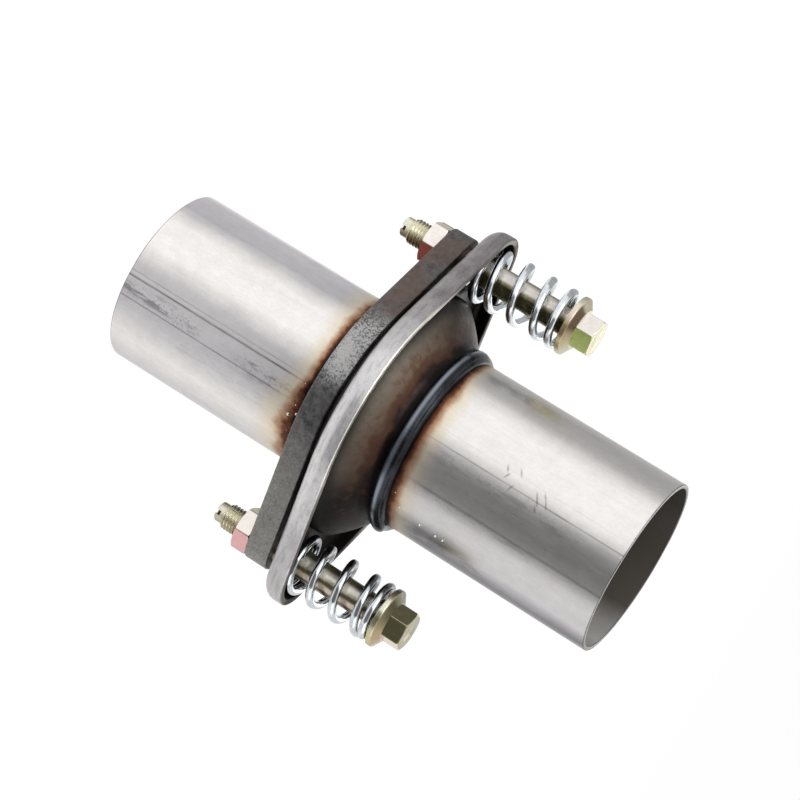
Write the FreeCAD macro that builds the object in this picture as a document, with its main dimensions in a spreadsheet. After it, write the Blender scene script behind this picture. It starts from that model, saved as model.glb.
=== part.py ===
import FreeCAD, Part
import math
import os
import Sketcher
from FreeCAD import Placement, Rotation, Vector

# Flexible exhaust pipe connector: two pipe stubs joined by a sprung ball joint.
# Frame: the origin is the centre of the inlet pipe's open end, +Z runs along the pipes to the
# outlet's open end, and X runs through the two bolts. Lengths are millimetres, angles degrees.

# Driving dimensions: alias, value, meaning
SIZES = (
    ("pipe_diameter", 63.5, "outside of both pipes"),
    ("pipe_wall", 1.5, "wall of both pipes"),
    ("pipe_fit", 0.05, "radial clearance of the pipes in what holds them"),
    ("inlet_length", 78.9, "inlet pipe end to the back of the flat flange"),
    ("outlet_length", 83.5, "outlet pipe beyond the neck of the pressed flange"),
    ("plate_thickness", 9.1, "flat flange"),
    ("plate_land", 10.2, "flat flange outside its pipe hole, where it is round"),
    ("plate_lobe_land", 3.25, "flat flange outside its bolt holes, at its ends"),
    ("plate_edge_break", 0.7, "rounded edges of the flat flange"),
    ("flange_gap", 3.0, "between the flat flange and the pressed flange"),
    ("ring_width", 9.0, "sealing ring from its hole to its widest"),
    ("ring_wall_height", 10.7, "ring's upright outside, below its round face"),
    ("ring_lip", 3.5, "ring's flat end, from its hole outwards"),
    ("ring_edge_break", 0.8, "bevel at the ring's foot"),
    ("spigot_inset", 2.5, "inlet pipe's end below the end of the ring"),
    ("ball_depth", 30.0, "ball centre behind the front of the flat flange"),
    ("seat_clearance", 0.2, "between the ring's round face and the bowl"),
    ("sheet_thickness", 2.5, "sheet of the pressed flange"),
    ("bowl_clearance", 2.9, "between the ring and the bowl's upright wall"),
    ("neck_length", 2.4, "neck of the pressed flange beyond its ball seat"),
    ("mouth_rounding", 1.2, "rounded edge where the bowl opens at the back"),
    ("shoulder_rounding", 4.0, "outside, where the bowl turns into the ball seat"),
    ("neck_rounding", 3.5, "outside, where the ball seat turns into the neck"),
    ("rim_depth", 8.4, "pressed flange from its back to the edge of its rim"),
    ("rim_groove", 1.8, "between the bowl and the rim, where it is round"),
    ("fold_radius", 2.5, "inside of the fold between floor and rim"),
    ("rim_edge_break", 0.6, "rounded edges of the rim"),
    ("outlet_pipe_inset", 0.7, "outlet pipe's end from where the ball seat ends"),
    ("weld_penetration", 0.6, "how deep the welds melt into the pipes"),
    ("inlet_weld_leg", 3.2, "fillet weld on the back of the flat flange"),
    ("inlet_weld_rise", 0.8, "how far its face bulges"),
    ("outlet_weld_height", 5.4, "bead along the outlet pipe"),
    ("outlet_weld_rise", 1.5, "how far its face bulges"),
    ("thread_diameter", 9.5, "bolt thread over its crests"),
    ("thread_fit", 0.15, "radial clearance of the thread in the flat flange"),
    ("shoulder_step", 0.35, "shank over thread, on the radius"),
    ("shoulder_length", 42.5, "bolt from its shoulder to the underside of its head"),
    ("bolt_hole_clearance", 3.1, "radial, lets the pressed flange swing round the bolt"),
    ("thread_beyond_nut", 7.1, "thread showing past the nut"),
    ("tip_step", 1.15, "thread over plain tip, on the radius"),
    ("tip_length", 3.2, "plain tip along the bolt"),
    ("tip_bevel", 0.5, "bevels on the tip and at the thread's start"),
    ("notch_width", 1.6, "notch in the tip"),
    ("right_notch_turn", 110.0, "right bolt's notch round its axis"),
    ("left_notch_turn", 102.0, "left bolt's notch round its axis"),
    ("notch_floor", 1.0, "bolt's axis to the floor of its notch"),
    ("notch_depth", 1.9, "notch along the bolt"),
    ("head_flange_inset", 0.2, "spring over head flange, on the radius"),
    ("head_flange_edge", 2.0, "upright edge of the round flange under the head"),
    ("head_flange_height", 4.0, "that flange from its underside to the hexagon"),
    ("head_flats", 12.7, "bolt's hexagon across flats"),
    ("head_height", 6.5, "bolt's hexagon along the bolt"),
    ("head_bevel", 0.9, "how far the bevel cuts in at the hexagon's corners"),
    ("nut_flats", 14.3, "nut across flats"),
    ("nut_height", 6.1, "nut along the bolt"),
    ("nut_bevel", 0.9, "how far the bevels cut in at the nut's corners"),
    ("nut_countersink", 0.6, "bevels at the nut's thread"),
    ("nut_thread_fit", 0.03, "radial clearance drawn between nut and thread"),
    ("right_head_turn", 37.0, "right bolt's hexagon round its axis"),
    ("left_head_turn", 18.0, "left bolt's hexagon round its axis"),
    ("right_nut_turn", 48.0, "right nut round its axis"),
    ("left_nut_turn", 45.0, "left nut round its axis"),
    ("wire_diameter", 3.0, "spring wire"),
    ("spring_diameter", 22.0, "spring over its coils"),
    ("spring_bowl_gap", 0.8, "between a spring and the bowl"),
    ("spring_rim_gap", 1.8, "between a spring and the rim round it"),
    ("spring_clearance", 0.2, "between a spring and its seats"),
    ("spring_turns", 5.0, "turns in all"),
    ("closed_turns", 0.75, "turns at each end that lie close together"),
    ("closing_turns", 0.5, "turns over which the coils open out"),
    ("closed_gap", 0.1, "between coils that lie close together"),
    ("right_spring_start", -36.0, "angle where the right spring's wire begins"),
    ("left_spring_start", 162.0, "angle where the left spring's wire begins"),
)

doc = FreeCAD.newDocument("pipe_connector")
dims = doc.addObject("Spreadsheet::Sheet", "dims")
for row, (alias, value, meaning) in enumerate(SIZES, start=1):
    dims.set("A%d" % row, meaning)
    dims.set("B%d" % row, str(value))
    dims.setAlias("B%d" % row, alias)
doc.recompute()


def on_ball(ball, radius, depth):
    """Height where a ball's surface has a radius round Z, its centre lying at a depth."""
    return "sqrt(%s ^ 2 - (%s) ^ 2) - %s" % (ball, radius, depth)


# Radii round the pipes' axis
PIPE_R = "dims.pipe_diameter / 2"
PIPE_BORE_R = PIPE_R + " - dims.pipe_wall"
MELT_R = PIPE_R + " - dims.weld_penetration"
PIPE_HOLE_R = PIPE_R + " + dims.pipe_fit"
RING_R = PIPE_HOLE_R + " + dims.ring_width"
BOWL_IN_R = RING_R + " + dims.bowl_clearance"
BOWL_OUT_R = BOWL_IN_R + " + dims.sheet_thickness"
NECK_R = PIPE_HOLE_R + " + dims.sheet_thickness"

# Radii round a bolt's axis, and where the bolts stand
THREAD_R = "dims.thread_diameter / 2"
THREAD_HOLE_R = THREAD_R + " + dims.thread_fit"
SHANK_R = THREAD_R + " + dims.shoulder_step"
SHANK_HOLE_R = SHANK_R + " + dims.bolt_hole_clearance"
SPRING_R = "dims.spring_diameter / 2"
BOLT_X = BOWL_OUT_R + " + dims.spring_bowl_gap + " + SPRING_R
LEFT_X = "-(" + BOLT_X + ")"

# The ring's ball face and the seat round it share one centre
RING_BALL = "sqrt((%s) ^ 2 + (dims.ball_depth + dims.ring_wall_height) ^ 2)" % RING_R
SEAT_BALL = "(%s + dims.seat_clearance)" % RING_BALL
BOWL_BALL = "(%s + dims.sheet_thickness)" % SEAT_BALL
SEAT_DEPTH = "(dims.flange_gap + dims.ball_depth)"
RING_LIP_R = PIPE_HOLE_R + " + dims.ring_lip"
RING_HEIGHT = on_ball(RING_BALL, RING_LIP_R, "dims.ball_depth")
SEAT_END = on_ball(SEAT_BALL, PIPE_HOLE_R, SEAT_DEPTH)
NECK_ROOT = on_ball(BOWL_BALL, NECK_R, SEAT_DEPTH)
NECK_HEIGHT = NECK_ROOT + " + dims.neck_length"

# Heights above the inlet pipe's end
PLATE_FRONT = "dims.inlet_length + dims.plate_thickness"
SHEET_BACK = PLATE_FRONT + " + dims.flange_gap"
NECK_END = SHEET_BACK + " + " + NECK_HEIGHT
OUTLET_START = SHEET_BACK + " + " + SEAT_END + " + dims.outlet_pipe_inset"

# Lengths of pipe: the inlet's whole, and the outlet's inside the neck
INLET_PIPE_LENGTH = PLATE_FRONT + " + " + RING_HEIGHT + " - dims.spigot_inset"
OUTLET_HELD = "(%s - (%s))" % (NECK_END, OUTLET_START)

# Which way an arc of an outline turns
LEFT_TURN = 1
RIGHT_TURN = -1

# Two lengths closer than this are the same, and a swept wire may miss its volume by this share
SAME = 0.001
SWEEP_SHARE = 0.02


def value_of(expression):
    """The number that an expression on the sheet gives."""
    result = dims.evalExpression(expression)
    return float(getattr(result, "Value", result))


def new_body(label, height="0", across="0"):
    """A body whose own origin stands at (across, 0, height)."""
    body = doc.addObject("PartDesign::Body", label)
    body.Label = label
    body.setExpression("Placement.Base.x", across)
    body.setExpression("Placement.Base.z", height)
    return body


def new_sketch(body, name, plane, lift="0"):
    """A sketch on one of the body's origin planes, lifted off it by an expression."""
    sketch = body.newObject("Sketcher::SketchObject", name)
    support = [item for item in body.Origin.OriginFeatures if item.Role == plane][0]
    sketch.AttachmentSupport = [(support, "")]
    sketch.MapMode = "FlatFace"
    sketch.setExpression("AttachmentOffset.Base.z", lift)
    return sketch


def drive(sketch, kind, references, expression):
    """Add a dimension that follows an expression."""
    constraint = Sketcher.Constraint(kind, *references, value_of(expression))
    index = sketch.addConstraint(constraint)
    sketch.setExpression("Constraints[%d]" % index, expression)


def place_point(sketch, geometry, end, across, up):
    """Hold one end of a line or arc at (across, up), two expressions."""
    if across == "0":
        sketch.addConstraint(Sketcher.Constraint("PointOnObject", geometry, end, -2))
    else:
        drive(sketch, "DistanceX", (-1, 1, geometry, end), across)
    if up == "0":
        sketch.addConstraint(Sketcher.Constraint("PointOnObject", geometry, end, -1))
    else:
        drive(sketch, "DistanceY", (-1, 1, geometry, end), up)


def arc_between(start, end, radius, turn):
    """The short arc from start to end that turns left or right."""
    chord = end - start
    middle = (start + end) / 2
    rise = math.sqrt(radius ** 2 - (chord.Length / 2) ** 2)
    left = Vector(-chord.y, chord.x, 0).normalize()
    centre = middle + left * (rise * turn)
    first, last = (start, end) if turn == LEFT_TURN else (end, start)
    first_angle = math.atan2(first.y - centre.y, first.x - centre.x)
    last_angle = math.atan2(last.y - centre.y, last.x - centre.x)
    return Part.ArcOfCircle(Part.Circle(centre, Vector(0, 0, 1), radius), first_angle, last_angle)


def arc_radius(across, up, rise):
    """Radius of an arc over a chord of these two legs that bulges by the rise."""
    return "((%s ^ 2 + %s ^ 2) / 4 + %s ^ 2) / (2 * %s)" % (across, up, rise, rise)


def draw_outline(sketch, points, arcs=None):
    """A closed outline through points, each (across, up).

    arcs gives, for the edge that leaves a point, its radius and which way it turns."""
    arcs = arcs or {}
    spots = [Vector(value_of(across), value_of(up), 0) for across, up in points]
    edges = []
    for number, start in enumerate(spots):
        end = spots[(number + 1) % len(spots)]
        if number in arcs:
            radius, turn = arcs[number]
            index = sketch.addGeometry(arc_between(start, end, value_of(radius), turn))
            drive(sketch, "Radius", (index,), radius)
            edges.append((index, 1, 2) if turn == LEFT_TURN else (index, 2, 1))
        else:
            edges.append((sketch.addGeometry(Part.LineSegment(start, end)), 1, 2))
    for number, (index, start_end, last_end) in enumerate(edges):
        following, following_start, unused = edges[(number + 1) % len(edges)]
        joint = Sketcher.Constraint("Coincident", index, last_end, following, following_start)
        sketch.addConstraint(joint)
        place_point(sketch, index, start_end, *points[number])


def draw_circle(sketch, across, radius):
    """A circle centred on the sketch's level axis."""
    centre = Vector(value_of(across), 0, 0)
    circle = Part.Circle(centre, Vector(0, 0, 1), value_of(radius))
    index = sketch.addGeometry(circle)
    place_point(sketch, index, 3, across, "0")
    drive(sketch, "Radius", (index,), radius)


def draw_lobed_outline(sketch, middle_radius, lobe_radius, lobe_x):
    """A round middle and two lobes, joined by straight tangents."""
    centre_radius = value_of(middle_radius)
    end_radius = value_of(lobe_radius)
    reach = value_of(lobe_x)
    lean = math.acos((centre_radius - end_radius) / reach)
    up = Vector(0, 0, 1)

    def add_arc(x, radius, first, last):
        circle = Part.Circle(Vector(x, 0, 0), up, radius)
        return sketch.addGeometry(Part.ArcOfCircle(circle, first, last))

    arcs = (
        add_arc(0, centre_radius, lean, math.pi - lean),
        add_arc(-reach, end_radius, math.pi - lean, math.pi + lean),
        add_arc(0, centre_radius, math.pi + lean, 2 * math.pi - lean),
        add_arc(reach, end_radius, -lean, lean),
    )
    centres = ("0", "-(" + lobe_x + ")", "0", lobe_x)
    radii = (middle_radius, lobe_radius, middle_radius, lobe_radius)
    for arc, centre, radius in zip(arcs, centres, radii):
        place_point(sketch, arc, 3, centre, "0")
        drive(sketch, "Radius", (arc,), radius)
    for number, arc in enumerate(arcs):
        following = arcs[(number + 1) % len(arcs)]
        start = sketch.getPoint(arc, 2)
        end = sketch.getPoint(following, 1)
        side = sketch.addGeometry(Part.LineSegment(start, end))
        sketch.addConstraint(Sketcher.Constraint("Tangent", arc, 2, side, 1))
        sketch.addConstraint(Sketcher.Constraint("Tangent", side, 2, following, 1))


def draw_hexagon(sketch, flats, turn):
    """A regular hexagon, turned about the sketch's origin."""
    corner = "(" + flats + ") / sqrt(3)"
    points = []
    for step in range(6):
        angle = "(%s + %d)" % (turn, 60 * step)
        points.append(("%s * cos(%s)" % (corner, angle), "%s * sin(%s)" % (corner, angle)))
    draw_outline(sketch, points)


def check_cut(feature, before):
    """Stop if a feature that should cut has left the body as large as it was."""
    if feature.Shape.Volume >= before:
        raise ValueError(feature.Label + " cuts nothing")


def turn_profile(body, kind, name, points, arcs):
    """Turn an outline of (radius, height) points about the body's Z axis."""
    sketch = new_sketch(body, name + "_profile", "XZ_Plane")
    draw_outline(sketch, points, arcs)
    feature = body.newObject(kind, name)
    feature.Profile = sketch
    feature.ReferenceAxis = (sketch, ["V_Axis"])
    feature.Angle = 360
    doc.recompute()
    return feature


def add_turned(body, name, points, arcs=None):
    """Add a turned form."""
    return turn_profile(body, "PartDesign::Revolution", name, points, arcs)


def cut_turned(body, name, points):
    """Cut a turned form away."""
    before = body.Shape.Volume
    groove = turn_profile(body, "PartDesign::Groove", name, points, None)
    check_cut(groove, before)
    return groove


def add_pad(body, name, sketch, length):
    """Raise a sketch along +Z."""
    pad = body.newObject("PartDesign::Pad", name)
    pad.Profile = sketch
    pad.setExpression("Length", length)
    doc.recompute()
    return pad


def add_pocket(body, name, sketch, length, upwards=False):
    """Cut a sketch into the body, downwards unless told otherwise."""
    before = body.Shape.Volume
    pocket = body.newObject("PartDesign::Pocket", name)
    pocket.Profile = sketch
    pocket.Reversed = upwards
    pocket.setExpression("Length", length)
    doc.recompute()
    check_cut(pocket, before)
    return pocket


def add_rounding(body, name, base, test, radius):
    """Round the edges of the last feature that pass a test."""
    edges = ["Edge%d" % number for number, edge in enumerate(base.Shape.Edges, 1) if test(edge)]
    rounding = body.newObject("PartDesign::Fillet", name)
    rounding.Base = (base, edges)
    rounding.setExpression("Radius", radius)
    doc.recompute()
    return rounding


def lies_at(edge, height):
    """Whether a whole edge lies at one height."""
    box = edge.BoundBox
    return abs(box.ZMin - height) < SAME and abs(box.ZMax - height) < SAME


def is_ring(edge, radius, height=None):
    """Whether an edge is a circle of this radius round the body's Z axis."""
    if not isinstance(edge.Curve, Part.Circle):
        return False
    centre = edge.Curve.Center
    at_height = height is None or abs(centre.z - height) < SAME
    on_axis = math.hypot(centre.x, centre.y) < SAME
    return at_height and on_axis and abs(edge.Curve.Radius - radius) < SAME


def make_pipe(label, base, length, weld_start, weld_end):
    """A length of pipe that starts at a height. Between two heights of its own a weld melts into it."""
    body = new_body(label, base)
    wall = (
        (PIPE_BORE_R, "0"),
        (PIPE_R, "0"),
        (PIPE_R, length),
        (PIPE_BORE_R, length),
    )
    add_turned(body, label + "_wall", wall)
    melted = (
        (MELT_R, weld_start),
        (PIPE_R + " + dims.weld_penetration", weld_start),
        (PIPE_R + " + dims.weld_penetration", weld_end),
        (MELT_R, weld_end),
    )
    cut_turned(body, label + "_melted", melted)
    return body


def make_flat_flange():
    """The thick plate with a bore for the pipe and a hole for each bolt."""
    body = new_body("inlet_flange", "dims.inlet_length")
    sketch = new_sketch(body, "plate_outline", "XY_Plane")
    middle = PIPE_HOLE_R + " + dims.plate_land"
    lobe = THREAD_HOLE_R + " + dims.plate_lobe_land"
    draw_lobed_outline(sketch, middle, lobe, BOLT_X)
    draw_circle(sketch, "0", PIPE_HOLE_R)
    draw_circle(sketch, BOLT_X, THREAD_HOLE_R)
    draw_circle(sketch, LEFT_X, THREAD_HOLE_R)
    plate = add_pad(body, "plate", sketch, "dims.plate_thickness")
    thickness = value_of("dims.plate_thickness")
    hole_radii = (value_of(PIPE_HOLE_R), value_of(THREAD_HOLE_R))

    def on_outline(edge):
        round_hole = isinstance(edge.Curve, Part.Circle) and min(
            abs(edge.Curve.Radius - radius) for radius in hole_radii) < SAME
        return (lies_at(edge, 0) or lies_at(edge, thickness)) and not round_hole

    add_rounding(body, "plate_edges", plate, on_outline, "dims.plate_edge_break")
    return body


def make_inlet_weld():
    """The fillet weld between the inlet pipe and the back of the flat flange."""
    body = new_body("inlet_weld", "dims.inlet_length")
    leg = "dims.inlet_weld_leg"
    profile = (
        (MELT_R, "-" + leg),
        (PIPE_R, "-" + leg),
        (PIPE_R + " + " + leg, "0"),
        (MELT_R, "0"),
    )
    crown = arc_radius(leg, leg, "dims.inlet_weld_rise")
    add_turned(body, "inlet_bead", profile, {1: (crown, LEFT_TURN)})
    return body


def make_sealing_ring():
    """The ring on the inlet pipe's end, with a face that follows the bowl's ball seat."""
    body = new_body("sealing_ring", PLATE_FRONT)
    profile = (
        (PIPE_HOLE_R, "0"),
        (RING_R + " - dims.ring_edge_break", "0"),
        (RING_R, "dims.ring_edge_break"),
        (RING_R, "dims.ring_wall_height"),
        (RING_LIP_R, RING_HEIGHT),
        (PIPE_HOLE_R, RING_HEIGHT),
    )
    add_turned(body, "ring", profile, {3: (RING_BALL, LEFT_TURN)})
    return body


def make_pressed_flange():
    """The sheet flange: a folded rim round a flat floor, and a bowl that ends in a neck."""
    body = new_body("outlet_flange", SHEET_BACK)

    # The rim and the floor
    inner_middle = BOWL_OUT_R + " + dims.rim_groove"
    inner_lobe = SPRING_R + " + dims.spring_rim_gap"
    outside = new_sketch(body, "rim_outside", "XY_Plane")
    draw_lobed_outline(
        outside, inner_middle + " + dims.sheet_thickness", inner_lobe + " + dims.sheet_thickness", BOLT_X)
    blank = add_pad(body, "blank", outside, "dims.rim_depth")
    add_rounding(
        body, "outer_fold", blank, lambda edge: lies_at(edge, 0), "dims.fold_radius + dims.sheet_thickness")
    inside = new_sketch(body, "rim_inside", "XY_Plane", "dims.rim_depth")
    draw_lobed_outline(inside, inner_middle, inner_lobe, BOLT_X)
    tray = add_pocket(body, "tray", inside, "dims.rim_depth - dims.sheet_thickness")
    floor = value_of("dims.sheet_thickness")
    tray = add_rounding(body, "inner_fold", tray, lambda edge: lies_at(edge, floor), "dims.fold_radius")
    rim_top = value_of("dims.rim_depth")
    add_rounding(body, "rim_edge", tray, lambda edge: lies_at(edge, rim_top), "dims.rim_edge_break")

    # The mouth of the bowl, and the bolt holes
    openings = new_sketch(body, "openings", "XY_Plane")
    draw_circle(openings, "0", BOWL_IN_R)
    draw_circle(openings, BOLT_X, SHANK_HOLE_R)
    draw_circle(openings, LEFT_X, SHANK_HOLE_R)
    add_pocket(body, "floor_openings", openings, "dims.rim_depth", upwards=True)

    # The bowl's wall: upright, then round the ball, then the neck
    shoulder = on_ball(BOWL_BALL, BOWL_OUT_R, SEAT_DEPTH)
    wall = (
        (BOWL_IN_R, "0"),
        (BOWL_OUT_R, "0"),
        (BOWL_OUT_R, shoulder),
        (NECK_R, NECK_ROOT),
        (NECK_R, NECK_HEIGHT),
        (PIPE_HOLE_R, NECK_HEIGHT),
        (PIPE_HOLE_R, SEAT_END),
        (BOWL_IN_R, on_ball(SEAT_BALL, BOWL_IN_R, SEAT_DEPTH)),
    )
    bowl = add_turned(body, "bowl", wall, {2: (BOWL_BALL, LEFT_TURN), 6: (SEAT_BALL, RIGHT_TURN)})
    for name, radius, height, rounding in (
            ("shoulder", BOWL_OUT_R, shoulder, "dims.shoulder_rounding"),
            ("neck_root", NECK_R, NECK_ROOT, "dims.neck_rounding"),
            ("mouth_edge", BOWL_IN_R, "0", "dims.mouth_rounding")):
        ring = (value_of(radius), value_of(height))
        bowl = add_rounding(body, name, bowl, lambda edge: is_ring(edge, *ring), rounding)
    return body


def make_outlet_weld():
    """The bead between the end of the neck and the outlet pipe."""
    body = new_body("outlet_weld", NECK_END)
    profile = (
        (MELT_R, "0"),
        (NECK_R, "0"),
        (PIPE_R, "dims.outlet_weld_height"),
        (MELT_R, "dims.outlet_weld_height"),
    )
    width = "(dims.pipe_fit + dims.sheet_thickness)"
    crown = arc_radius(width, "dims.outlet_weld_height", "dims.outlet_weld_rise")
    add_turned(body, "outlet_bead", profile, {1: (crown, LEFT_TURN)})
    return body


def make_bolt(label, across, head_turn, notch_turn):
    """A shoulder bolt. Its origin is the shoulder, which bears on the flat flange."""
    body = new_body(label, PLATE_FRONT, across)
    thread_length = "dims.plate_thickness + dims.nut_height + dims.thread_beyond_nut"
    thread_start = "-(%s)" % thread_length
    tip_end = "-(%s + dims.tip_length)" % thread_length
    tip_r = THREAD_R + " - dims.tip_step"
    flange_r = SPRING_R + " - dims.head_flange_inset"
    corner_r = "dims.head_flats / sqrt(3)"
    hexagon_foot = "dims.shoulder_length + dims.head_flange_height"
    hexagon_top = hexagon_foot + " + dims.head_height"
    profile = (
        ("0", tip_end),
        (tip_r + " - dims.tip_bevel", tip_end),
        (tip_r, tip_end + " + dims.tip_bevel"),
        (tip_r, thread_start),
        (THREAD_R + " - dims.tip_bevel", thread_start),
        (THREAD_R, thread_start + " + dims.tip_bevel"),
        (THREAD_R, "0"),
        (SHANK_R, "0"),
        (SHANK_R, "dims.shoulder_length"),
        (flange_r, "dims.shoulder_length"),
        (flange_r, "dims.shoulder_length + dims.head_flange_edge"),
        (corner_r, hexagon_foot),
        ("0", hexagon_foot),
    )
    add_turned(body, label + "_turned", profile)
    hexagon = new_sketch(body, label + "_hexagon", "XY_Plane", hexagon_foot)
    draw_hexagon(hexagon, "dims.head_flats", head_turn)
    add_pad(body, label + "_head", hexagon, "dims.head_height")
    add_bevel(body, label + "_head_bevel", "dims.head_flats", "dims.head_bevel", hexagon_top, "-")
    notch = new_sketch(body, label + "_notch_outline", "XY_Plane", tip_end)
    notch.setExpression("AttachmentOffset.Rotation.Angle", notch_turn)
    half_width = "dims.notch_width / 2"
    corners = (
        (tip_r, "-" + half_width),
        (tip_r, half_width),
        ("dims.notch_floor", half_width),
        ("dims.notch_floor", "-" + half_width),
    )
    draw_outline(notch, corners)
    add_pocket(body, label + "_notch", notch, "dims.notch_depth", upwards=True)
    return body


def add_bevel(body, name, flats, bevel, face, into):
    """Turn off a hexagon's corners at one face, at 30 degrees.

    into is the sign of the way from the face into the metal."""
    corner = flats + " / sqrt(3)"
    outside = corner + " + " + bevel
    profile = (
        (corner + " - " + bevel, face),
        (outside, face),
        (outside, "%s %s 2 * %s * tan(30)" % (face, into, bevel)),
    )
    cut_turned(body, name, profile)


def make_nut(label, across, turn):
    """A hexagon nut on the back of the flat flange."""
    body = new_body(label, "dims.inlet_length", across)
    outline = new_sketch(body, label + "_hexagon", "XY_Plane", "-dims.nut_height")
    draw_hexagon(outline, "dims.nut_flats", turn)
    add_pad(body, label + "_block", outline, "dims.nut_height")
    add_bevel(body, label + "_front_bevel", "dims.nut_flats", "dims.nut_bevel", "0", "-")
    add_bevel(body, label + "_back_bevel", "dims.nut_flats", "dims.nut_bevel", "-dims.nut_height", "+")
    bore_r = THREAD_R + " + dims.nut_thread_fit"
    bore = new_sketch(body, label + "_bore_outline", "XY_Plane")
    draw_circle(bore, "0", bore_r)
    bored = add_pocket(body, label + "_bore", bore, "dims.nut_height")
    radius = value_of(bore_r)
    rings = [
        "Edge%d" % number for number, edge in enumerate(bored.Shape.Edges, 1) if is_ring(edge, radius)]
    countersinks = body.newObject("PartDesign::Chamfer", label + "_countersinks")
    countersinks.Base = (bored, rings)
    countersinks.setExpression("Size", "dims.nut_countersink")
    doc.recompute()
    return body


def spring_path(start_angle):
    """The wire's centre line, a coil whose pitch opens out between its closed ends."""
    turns = dims.spring_turns
    closed = dims.closed_turns
    closing = dims.closing_turns
    wire = dims.wire_diameter
    closed_pitch = wire + dims.closed_gap
    seats = dims.shoulder_length - dims.flange_gap - dims.sheet_thickness
    rise = seats - 2 * dims.spring_clearance - wire
    # The opening coils climb at the mean of the two pitches
    closed_rise = closed_pitch * (2 * closed + closing)
    open_pitch = (rise - closed_rise) / (turns - 2 * closed - closing)

    def climb(turn):
        """Height after some turns from either end, up to the middle."""
        if turn <= closed:
            return closed_pitch * turn
        opening = min(turn - closed, closing)
        gained = (open_pitch - closed_pitch) * opening ** 2 / (2 * closing)
        beyond = max(turn - closed - closing, 0)
        return closed_pitch * (closed + opening) + gained + open_pitch * beyond

    radius = (dims.spring_diameter - wire) / 2
    points_per_turn = 12
    count = round(turns * points_per_turn)
    points = []
    for step in range(count + 1):
        turn = turns * step / count
        height = climb(turn) if turn <= turns / 2 else rise - climb(turns - turn)
        angle = math.radians(start_angle) + 2 * math.pi * turn
        points.append(Vector(radius * math.cos(angle), radius * math.sin(angle), height))
    curve = Part.BSplineCurve()
    curve.interpolate(points)
    return curve


def make_spring(label, across, start_angle):
    """A coil spring between the pressed flange's floor and the bolt's head."""
    path = spring_path(start_angle)
    start = path.value(path.FirstParameter)
    along = path.tangent(path.FirstParameter)[0]
    wire_end = Part.Wire(Part.Circle(start, along, dims.wire_diameter / 2).toShape())
    sweep = Part.BRepOffsetAPI.MakePipeShell(Part.Wire(path.toShape()))
    sweep.setFrenetMode(True)
    sweep.add(wire_end)
    sweep.build()
    sweep.makeSolid()
    spring = doc.addObject("Part::Feature", label)
    spring.Label = label
    spring.Shape = sweep.shape()
    floor = value_of(SHEET_BACK + " + dims.sheet_thickness")
    height = floor + dims.spring_clearance + dims.wire_diameter / 2
    spring.Placement = Placement(Vector(across, 0, height), Rotation())
    swept = math.pi * (dims.wire_diameter / 2) ** 2 * path.length()
    if abs(spring.Shape.Volume - swept) > SWEEP_SHARE * swept:
        raise ValueError(label + " is not its wire's section times its length")
    return spring


pieces = [
    make_pipe(
        "inlet_pipe", "0", INLET_PIPE_LENGTH,
        "dims.inlet_length - dims.inlet_weld_leg", "dims.inlet_length"),
    make_flat_flange(),
    make_inlet_weld(),
    make_sealing_ring(),
    make_pressed_flange(),
    make_pipe(
        "outlet_pipe", OUTLET_START, OUTLET_HELD + " + dims.outlet_length",
        OUTLET_HELD, OUTLET_HELD + " + dims.outlet_weld_height"),
    make_outlet_weld(),
    make_bolt("bolt_right", BOLT_X, "dims.right_head_turn", "dims.right_notch_turn"),
    make_bolt("bolt_left", LEFT_X, "dims.left_head_turn", "dims.left_notch_turn"),
    make_nut("nut_right", BOLT_X, "dims.right_nut_turn"),
    make_nut("nut_left", LEFT_X, "dims.left_nut_turn"),
    make_spring("spring_right", value_of(BOLT_X), dims.right_spring_start),
    make_spring("spring_left", value_of(LEFT_X), dims.left_spring_start),
]
doc.recompute()

# Nothing is written unless every object and every solid is sound
for item in doc.Objects:
    if "Invalid" in item.State or "Error" in item.State:
        raise ValueError(item.Label + " failed: " + str(item.State))
for piece in pieces:
    if piece.Shape.isNull() or not piece.Shape.isValid() or len(piece.Shape.Solids) != 1:
        raise ValueError(piece.Label + " is not one sound solid")

os.makedirs("parts", exist_ok=True)
for piece in pieces:
    piece.Shape.exportStep("parts/" + piece.Label + ".step")
    box = piece.Shape.BoundBox
    print("%-14s %9.1f mm3   z %7.2f to %7.2f" % (piece.Label, piece.Shape.Volume, box.ZMin, box.ZMax))
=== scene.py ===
import math
import random

import bpy
from bpy.props import FloatProperty, FloatVectorProperty, IntProperty, PointerProperty
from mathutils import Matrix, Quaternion, Vector


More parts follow.
